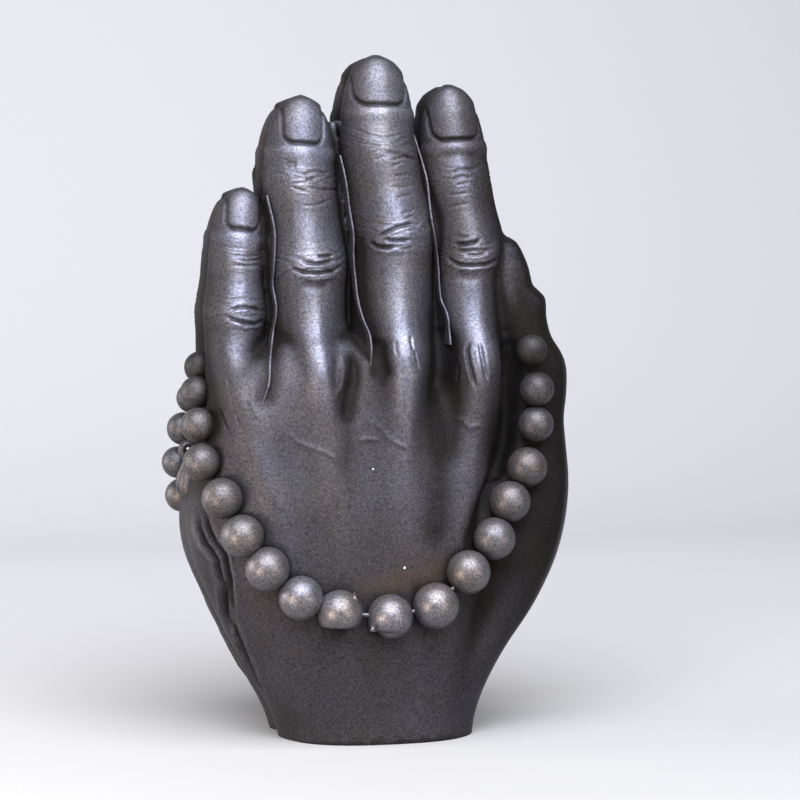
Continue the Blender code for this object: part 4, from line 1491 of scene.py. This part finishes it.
def graphite(name, tones, rough):
    """Graphite paint over a plaster casting, rubbed bright on what stands out, with painted shade
    and painted highlight carried by the same value.

    tones are the colours of the paint at none, half and full wear, and rough is how rough
    it is at none and full wear.
    """
    coat = Finish(name)
    place = coat.node("TexCoord", {}, {}, "Object")
    rubbed = coat.node("Attribute", {"attribute_name": "rubbed"}, {}, "Fac")
    stained = coat.node("Attribute", {"attribute_name": "stained"}, {}, "Fac")

    def clouds(scale, detail, roughness):
        sockets = {"Vector": place, "Scale": scale, "Detail": detail, "Roughness": roughness}
        return coat.node("TexNoise", {}, sockets)

    def blend(source, stops):
        return coat.node("ValToRGB", {"stops": stops}, {"Fac": source})

    grain = clouds(*GRAIN)
    speck = blend(grain, SPECK_STOPS)
    mottle = blend(clouds(*MOTTLE), MOTTLE_STOPS)
    sheen = blend(clouds(*SHEEN), SHEEN_STOPS)
    worn_and_shaded = blend(rubbed, tuple(zip((0.0, 0.5, 1.0), tones)))
    paint = (worn_and_shaded * speck * mottle).mixed("MIX", STAIN_TONE, stained) * sheen
    bare, bright = rough
    tooth = {"Strength": TOOTH, "Distance": TOOTH_DEPTH, "Height": grain}
    coat.shade(
        {
            "Base Color": paint,
            "Metallic": METALLIC,
            "Roughness": bare + (bright - bare) * rubbed,
            "Specular IOR Level": GLAZE,
            "Normal": coat.node("Bump", {}, tooth),
        }
    )
    return coat.material


# The paint's clouds: scale, detail and roughness of each, with the colours they multiply by
GRAIN = (2600.0, 4.0, 0.65)
SPECK_STOPS = ((0.34, grey(0.52)), (0.66, grey(1.48)))
MOTTLE = (160.0, 5.0, 0.6)
MOTTLE_STOPS = ((0.30, (0.80, 0.78, 0.78, 1)), (0.70, grey(1.0)))
SHEEN = (75.0, 4.0, 0.7)
# The sheen drifts from a bronze to a blue cast
SHEEN_STOPS = ((0.36, (1.02, 0.98, 0.93, 1)), (0.62, (0.96, 1.0, 1.11, 1)))
# How metallic the paint is, how strongly it reflects, and the tooth of its surface
METALLIC = 0.7
GLAZE = 0.2
TOOTH = 0.6
TOOTH_DEPTH = 0.06 * MM

# Colours of the paint with no wear, half worn and rubbed bright, which also show the painted
# shade and highlight
HAND_TONES = ((0.007, 0.006, 0.006, 1), (0.042, 0.040, 0.046, 1), (0.128, 0.129, 0.156, 1))
BEAD_TONES = ((0.012, 0.011, 0.010, 1), (0.047, 0.044, 0.046, 1), (0.112, 0.106, 0.113, 1))
HAND_ROUGHNESS = (0.70, 0.44)
BEAD_ROUGHNESS = (0.62, 0.40)
STAIN_TONE = (0.046, 0.030, 0.016, 1)


# The paper sweep, in metres: how far it reaches in front and behind, its height, the radius
# of its bend and half its width
SWEEP_FRONT = 1.2
SWEEP_DEPTH = 0.55
SWEEP_HEIGHT = 0.9
SWEEP_BEND = 0.25
SWEEP_HALF = 1.6
SWEEP_STEPS = 16
PAPER_ROUGHNESS = 0.9
FLOOR_TONE = (0.236, 0.232, 0.233, 1)
BACKDROP_TONE = (0.308, 0.303, 0.316, 1)
BACKDROP_FROM = 0.25


def sweep(collection):
    """A pale floor that curves up into a backdrop."""
    floor_end = SWEEP_DEPTH - SWEEP_BEND
    outline = [(-SWEEP_FRONT, 0.0), (floor_end, 0.0)]
    for step in range(1, SWEEP_STEPS + 1):
        angle = step / SWEEP_STEPS * math.pi / 2
        outline.append(
            (floor_end + SWEEP_BEND * math.sin(angle), SWEEP_BEND - SWEEP_BEND * math.cos(angle))
        )
    outline.append((SWEEP_DEPTH, SWEEP_HEIGHT))
    mesh = bmesh.new()
    sides = (-SWEEP_HALF, SWEEP_HALF)
    rows = [[mesh.verts.new((x, y, z)) for x in sides] for y, z in outline]
    for low, high in zip(rows, rows[1:]):
        mesh.faces.new((low[0], low[1], high[1], high[0]))
    data = kept("backdrop", mesh)
    round_off(data)
    obj = placed("backdrop", data, collection)
    paper = Finish("backdrop_paper")
    place = paper.node("TexCoord", {}, {}, "Object")
    depth = paper.node("SeparateXYZ", {}, {"Vector": place}, "Y")
    stops = ((0.0, FLOOR_TONE), (BACKDROP_FROM, BACKDROP_TONE))
    pale = paper.node("ValToRGB", {"stops": stops}, {"Fac": depth})
    paper.shade({"Base Color": pale, "Roughness": PAPER_ROUGHNESS})
    data.materials.append(paper.material)


def area_light(name, place, aim, size, power, colour):
    data = bpy.data.lights.new(name, "AREA")
    data.shape = "RECTANGLE"
    data.size, data.size_y = size
    data.energy = power
    data.color = colour
    obj = bpy.data.objects.new(name, data)
    obj.location = place
    obj.rotation_euler = (Vector(aim) - Vector(place)).to_track_quat("-Z", "Y").to_euler()
    bpy.context.scene.collection.objects.link(obj)


# Lights: name, place, what each is aimed at, size, power in watts and colour
LIGHTS = (
    ("key", (-0.05, -0.48, 0.64), (0, 0, 0.06), (0.95, 0.80), 35.0, (0.92, 0.95, 1.0)),
    ("low_bounce", (-0.17, -0.13, 0.02), (-0.02, 0, 0.03), (0.06, 0.04), 0.34, (1.0, 0.80, 0.60)),
    ("side", (-0.42, 0.10, 0.12), (0, 0, 0.05), (0.20, 0.24), 2.0, (1.0, 0.95, 0.90)),
    ("bounce", (0.25, -0.45, 0.03), (0, 0, 0.06), (0.30, 0.10), 1.2, (1.0, 0.80, 0.62)),
)
STUDIO_TONE = (0.90, 0.90, 0.95, 1)
STUDIO_STRENGTH = 0.06

# The photograph's view: turned towards the little fingers, a little above level
CAMERA_YAW = math.radians(14)
CAMERA_RISE = math.radians(3)
CAMERA_DISTANCE = 0.45
# The size of a pixel at the statue's middle, and the picture's middle in pixels from its foot
PIXEL = 0.000183
AIM_ACROSS = 33
AIM_UP = 341
SENSOR = 36.0
PICTURE_WIDTH = 800


def studio():
    """Weak, even light from all round."""
    world = bpy.data.worlds.new("studio")
    world.use_nodes = True
    background = world.node_tree.nodes["Background"]
    background.inputs["Color"].default_value = STUDIO_TONE
    background.inputs["Strength"].default_value = STUDIO_STRENGTH
    bpy.context.scene.world = world


def camera():
    right = Vector((math.cos(CAMERA_YAW), -math.sin(CAMERA_YAW), 0))
    back = Vector(
        (
            -math.sin(CAMERA_YAW) * math.cos(CAMERA_RISE),
            -math.cos(CAMERA_YAW) * math.cos(CAMERA_RISE),
            math.sin(CAMERA_RISE),
        )
    )
    target = right * (AIM_ACROSS * PIXEL) + Vector((0, 0, AIM_UP * PIXEL - BASE_HEIGHT))
    data = bpy.data.cameras.new("camera")
    data.sensor_width = SENSOR
    data.lens = SENSOR * CAMERA_DISTANCE / (PICTURE_WIDTH * PIXEL)
    obj = bpy.data.objects.new("camera", data)
    obj.location = target + back * CAMERA_DISTANCE
    obj.rotation_euler = (-back).to_track_quat("-Z", "Y").to_euler()
    bpy.context.scene.collection.objects.link(obj)
    bpy.context.scene.camera = obj


def dress():
    collection = bpy.data.collections.new("praying_hands_looks")
    bpy.context.scene.collection.children.link(collection)
    near = near_hand(collection)
    graph = bpy.context.evaluated_depsgraph_get()
    surface = BVHTree.FromObject(near.evaluated_get(graph), graph)
    near_places = bead_places(surface, BEADS)
    far_places = bead_places(surface, BEADS[:MIRRORED_BEADS] + FAR_STRAND)
    beads = bead_string(surface, near_places, far_places, collection)
    paint_bead_shadow_rings(near.data, near_places)
    fins = joined("mould_fins", [fin(line) for line in FINS], collection)
    lower(fins.data)
    hanging = pendant(collection)
    chips = plaster_chips(surface, collection)
    trim(near)
    thin_out(near, MOST_TRIANGLES)
    far = mirrored(near, "far_hand")
    store(far.data, "stained", np.zeros(len(far.data.vertices)))
    far_fins = mirrored(fins, "far_fins")
    skin = graphite("graphite_hands", HAND_TONES, HAND_ROUGHNESS)
    polished = graphite("graphite_beads", BEAD_TONES, BEAD_ROUGHNESS)
    for piece in (fins, far_fins, hanging):
        store(piece.data, "rubbed", np.full(len(piece.data.vertices), FIN_WEAR))
    coats = {beads: polished, hanging: polished, chips: plaster()}
    for piece in (near, far, beads, fins, far_fins, hanging, chips):
        piece.data.materials.clear()
        piece.data.materials.append(coats.get(piece, skin))
        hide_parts("praying_hands")
        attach(piece, "root")


dress()
stage_things = bpy.data.collections.new("stage")
bpy.context.scene.collection.children.link(stage_things)
sweep(stage_things)
for light in LIGHTS:
    area_light(*light)
studio()
bpy.context.scene.view_settings.view_transform = "Standard"
camera()
